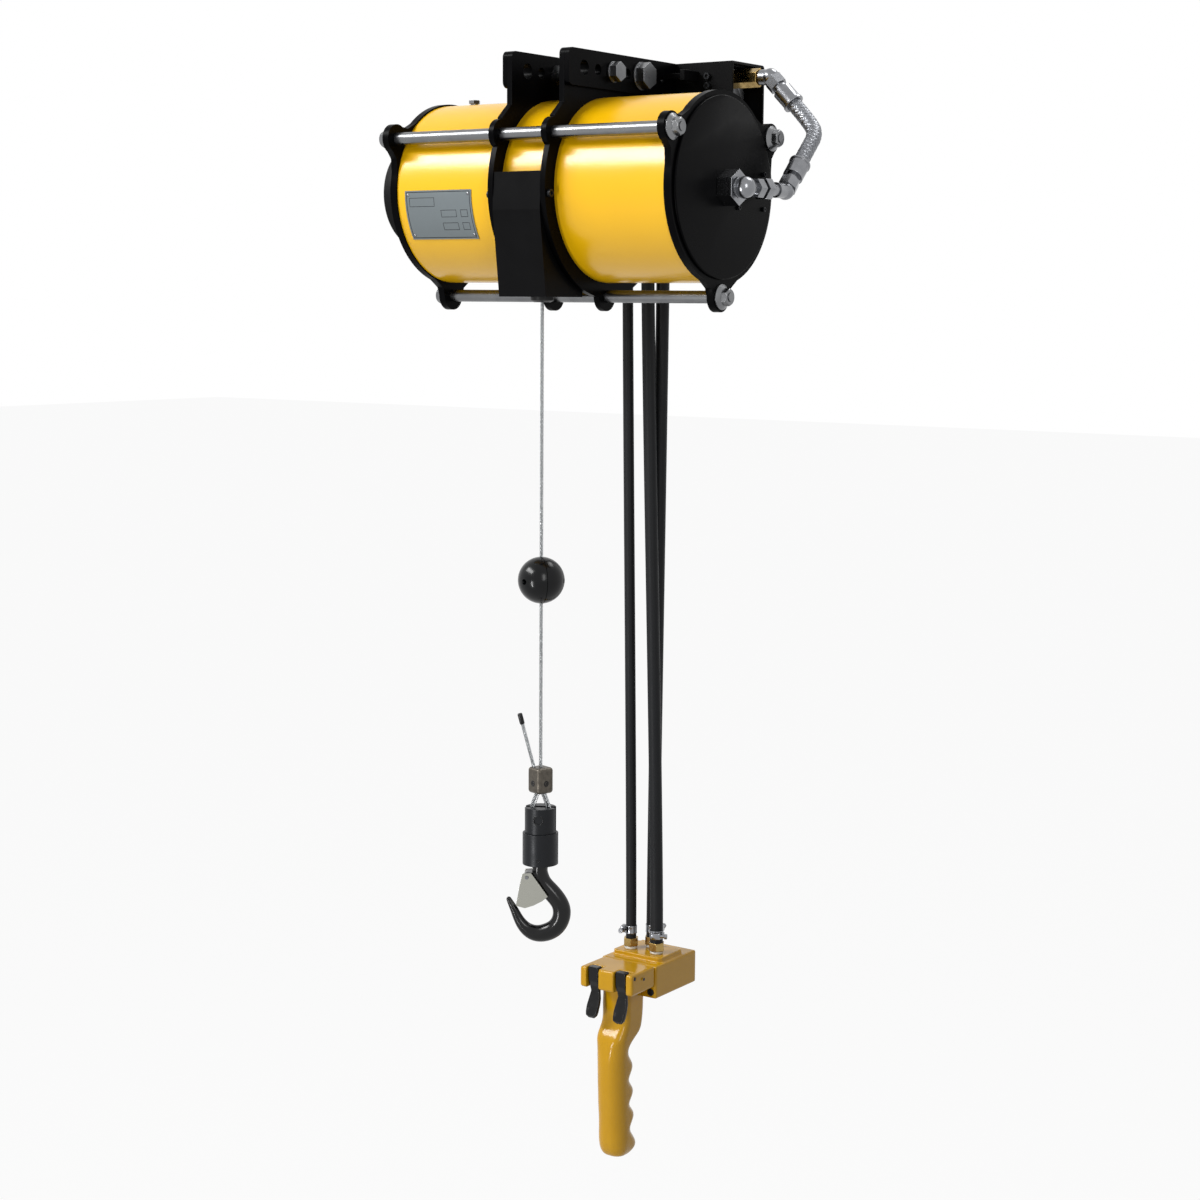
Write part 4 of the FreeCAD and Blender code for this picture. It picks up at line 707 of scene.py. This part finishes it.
# small detail

def ringAt(centre, axis, profile, sides=32):
    return turnedGrid(np.array(profile) * mm, centre, axis, sides)


frontWay = unit([0.571, -0.821, 0])
sideWay = np.array([0.821, 0.571, 0])

# retaining ring in the clevis pin's recess, and the cap's grub screw
ropeAxisAtPin = fromAxis(0, ropeY, pinZ)
ring = [(16.8, 4.7), (17.9, 4.8), (17.9, 5.9), (16.8, 6.0)]
points, faces = joined([ringAt(ropeAxisAtPin, way, ring) for way in (-across, across)])
piece = addMesh("pin_rings", points, faces, "leverNylon")
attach(piece, "clevis")
grubWay = unit(frontWay * 0.995 - sideWay * 0.1)
grub = {"z": -755.5, "profile": [(20.2, 1.2), (20.62, 1.3), (20.66, 2.3), (20.2, 2.5)]}
points, faces = ringAt(fromAxis(0, ropeY, grub["z"]), grubWay, grub["profile"], 20)
piece = addMesh("cap_grub_screw", points, faces, "leverNylon")
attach(piece, "clevis")

# recessed screws in the rope clamp's two front faces
clampTurn = hookTurn + math.radians(45)
clampScrew = {"z": -668, "socket": [(10.9, 1.6), (11.15, 1.8), (11.15, 3.4), (10.9, 3.6)],
              "hex": [(10.9, 0.01), (11.05, 0.02), (11.05, 1.5), (10.9, 1.5)]}
grids = []
for quarter in (-1, 2):
    faceTurn = clampTurn + quarter * math.pi / 2
    way = np.array([math.cos(faceTurn), math.sin(faceTurn), 0])
    seat = fromAxis(0, ropeY, clampScrew["z"])
    grids.append(ringAt(seat, way, clampScrew["socket"], 24))
    grids.append(ringAt(seat, way, clampScrew["hex"], 6))
points, faces = joined(grids)
piece = addMesh("clamp_screws", points, faces, "leverNylon")
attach(piece, "rope_end")

# the latch's coil spring on its pin: a helix with two straight legs
bowlZ = -820
spring = {"turns": 4.5, "coil": 3.1, "wire": 0.45, "inner": 8.6, "outer": 10.0}
pinAt = atRope(-14, 0, bowlZ + 42.7)
legEnd = atRope(-19.5, 0, bowlZ + 24)
toHook = unit(atRope(1, 0, 0) - atRope(0, 0, 0))
a = np.linspace(0, 2 * np.pi * spring["turns"], 130)
for side in (-1, 1):
    spread = side * np.linspace(spring["inner"], spring["outer"], len(a)) * mm
    turning = np.cos(a)[:, None] * toHook + np.sin(a)[:, None] * upAxis
    coil = pinAt + across * spread[:, None] + spring["coil"] * mm * turning
    legWay = legEnd + across * spread[-1] - coil[-1]
    leg = coil[-1] + np.linspace(0, 1, 20)[1:, None] * legWay
    points, faces = tubeGrid(np.concatenate([coil, leg]), spring["wire"] * mm, 8)
    piece = addMesh("latch_spring_left" if side < 0 else "latch_spring_right", points, faces, "groundSteel")
    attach(piece, "latch")

plate = {"radius": 102.8, "raise": 0.06, "rivetX": (-165.5, -79.5), "rivetZ": (-49.5, -4.5),
         "rivet": [(102.8, 1.9), (103.3, 1.75), (103.65, 1.2), (103.8, 0.01)]}


# blank fields and rivets on the name plate, laid on the cylinder's curve: y = -R cos t, z = R sin t
def onPlate(x, z, r):
    t = np.arcsin(np.clip(np.asarray(z, float) / plate["radius"], -1, 1))
    return np.stack([np.broadcast_to(x, t.shape), -r * np.cos(t) + 55.0, r * np.sin(t) - 130.0], -1) * mm


def strip(x0, x1, z0, z1):
    r = plate["radius"] + plate["raise"]
    z = np.linspace(z0, z1, max(2, int(abs(z1 - z0) / 1.5) + 2))
    points = np.concatenate([onPlate(x0, z, r), onPlate(x1, z, r)])
    n = len(z)
    return points, [[i, i + n, i + n + 1, i + 1] for i in range(n - 1)]


def outline(x0, x1, z0, z1, w):
    return [strip(x0, x1, z1 - w, z1), strip(x0, x1, z0, z0 + w), strip(x0, x0 + w, z0 + w, z1 - w),
            strip(x1 - w, x1, z0 + w, z1 - w)]


grids = outline(-168, -77, -52.5, -1.5, 0.7)
for x0, x1, z0, z1 in ((-164, -128, -18, -8), (-120, -98, -30, -22), (-92, -82, -30, -22),
                       (-120, -98, -44, -36), (-92, -82, -44, -36)):
    grids += outline(x0, x1, z0, z1, 0.5)
points, faces = joined(grids)
piece = addMesh("plate_fields", points, faces, "leverNylon")
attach(piece, "frame")
grids = []
for x in plate["rivetX"]:
    for z in plate["rivetZ"]:
        t = math.asin(z / plate["radius"])
        way = np.array([0, -math.cos(t), math.sin(t)])
        grids.append(turnedGrid(np.array(plate["rivet"]) * mm, fromAxis(x, 0, 0), way, 20, closed=False))
points, faces = joined(grids)
piece = addMesh("plate_rivets", points, faces, "groundSteel")
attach(piece, "frame")

# the pivot pin's end and its set screw on the handle's right cheek
cheekPins = [((29.3, 84, -934), [(0, 0.01), (0.25, 0.02), (0.25, 2.0), (0, 2.2)]),
             ((31.2, 101, -938), [(0, 0.01), (0.35, 0.02), (0.35, 1.7), (0, 2.0)])]
points, faces = joined([ringAt(fromAxis(*spot), [1, 0, 0], profile, 20) for spot, profile in cheekPins])
piece = addMesh("cheek_pins", points, faces, "leverNylon")
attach(piece, "frame")
print("small detail made")


# studio

def addLamp(name, place, target, size, power):
    data = bpy.data.lights.new(name, "AREA")
    data.shape = "RECTANGLE"
    data.size, data.size_y = size
    data.energy = power
    lamp = bpy.data.objects.new(name, data)
    bpy.context.scene.collection.objects.link(lamp)
    lamp.location = place
    lamp.rotation_mode = "QUATERNION"
    lamp.rotation_quaternion = (Vector(target) - Vector(place)).to_track_quat("-Z", "Y")


# the floor lies below the hook at its lowest
studio = {"floorZ": -2.2, "floorHalf": 30.0, "floor": "#CFCFCD", "floorShare": 0.94, "fill": 0.15}
addLamp("keyLamp", (-1.6, -1.75, 1.45), (0, 0, -0.15), (2.2, 0.75), 100)
addLamp("sideLamp", (2.4, -2.0, 0.6), (0, 0, -0.5), (0.7, 1.6), 26)
addLamp("lowLamp", (-0.45, -2.5, -1.2), (0, 0.1, -1.1), (0.16, 1.1), 26)
addLamp("backLamp", (0.6, 1.6, 2.2), (0, 0, -0.3), (1.2, 1.2), 30)

# what camera, mirror and glass rays see is plain white; what lights the part is the dimmer fill
def viewerMix(tree, plain, share):
    rays = addNode(tree, "ShaderNodeLightPath")
    seen = addNode(tree, "ShaderNodeMath", {"operation": "MAXIMUM"},
                   {0: rays.outputs["Is Camera Ray"], 1: rays.outputs["Is Glossy Ray"]})
    seen = addNode(tree, "ShaderNodeMath", {"operation": "MAXIMUM"},
                   {0: seen.outputs[0], 1: rays.outputs["Is Transmission Ray"]})
    share = addNode(tree, "ShaderNodeMath", {"operation": "MULTIPLY"}, {0: seen.outputs[0], 1: share})
    isWorld = plain.bl_idname == "ShaderNodeBackground"
    white = addNode(tree, "ShaderNodeBackground" if isWorld else "ShaderNodeEmission",
                    inputs={"Color": (1, 1, 1, 1), "Strength": 1.0})
    return addNode(tree, "ShaderNodeMixShader", inputs={0: share.outputs[0], 1: plain.outputs[0],
                                                        2: white.outputs[0]}).outputs[0]


world = bpy.data.worlds.new("studioWorld")
bpy.context.scene.world = world
world.use_nodes = True
tree = world.node_tree
tree.nodes.clear()
plain = addNode(tree, "ShaderNodeBackground", inputs={"Color": (1, 1, 1, 1), "Strength": studio["fill"]})
addNode(tree, "ShaderNodeOutputWorld", inputs={"Surface": viewerMix(tree, plain, 1.0)})

# the floor is a plain pale sheet that shows near white and keeps the part's shadow
floor, tree, shader = newMaterial("paleFloor", {"colour": studio["floor"], "roughness": 0.9})
output = next(node for node in tree.nodes if node.bl_idname == "ShaderNodeOutputMaterial")
tree.links.new(viewerMix(tree, shader, studio["floorShare"]), output.inputs["Surface"])
half, low = studio["floorHalf"], studio["floorZ"]
corners = np.array([[-half, -half, low], [half, -half, low], [half, half, low], [-half, half, low]])
mesh = bpy.data.meshes.new("floor")
mesh.from_pydata(corners.tolist(), [], [[0, 1, 2, 3]])
mesh.materials.append(floor)
ground = bpy.data.objects.new("floor", mesh)
bpy.context.scene.collection.objects.link(ground)

bpy.context.scene.view_settings.view_transform = "Standard"
print("studio lit")
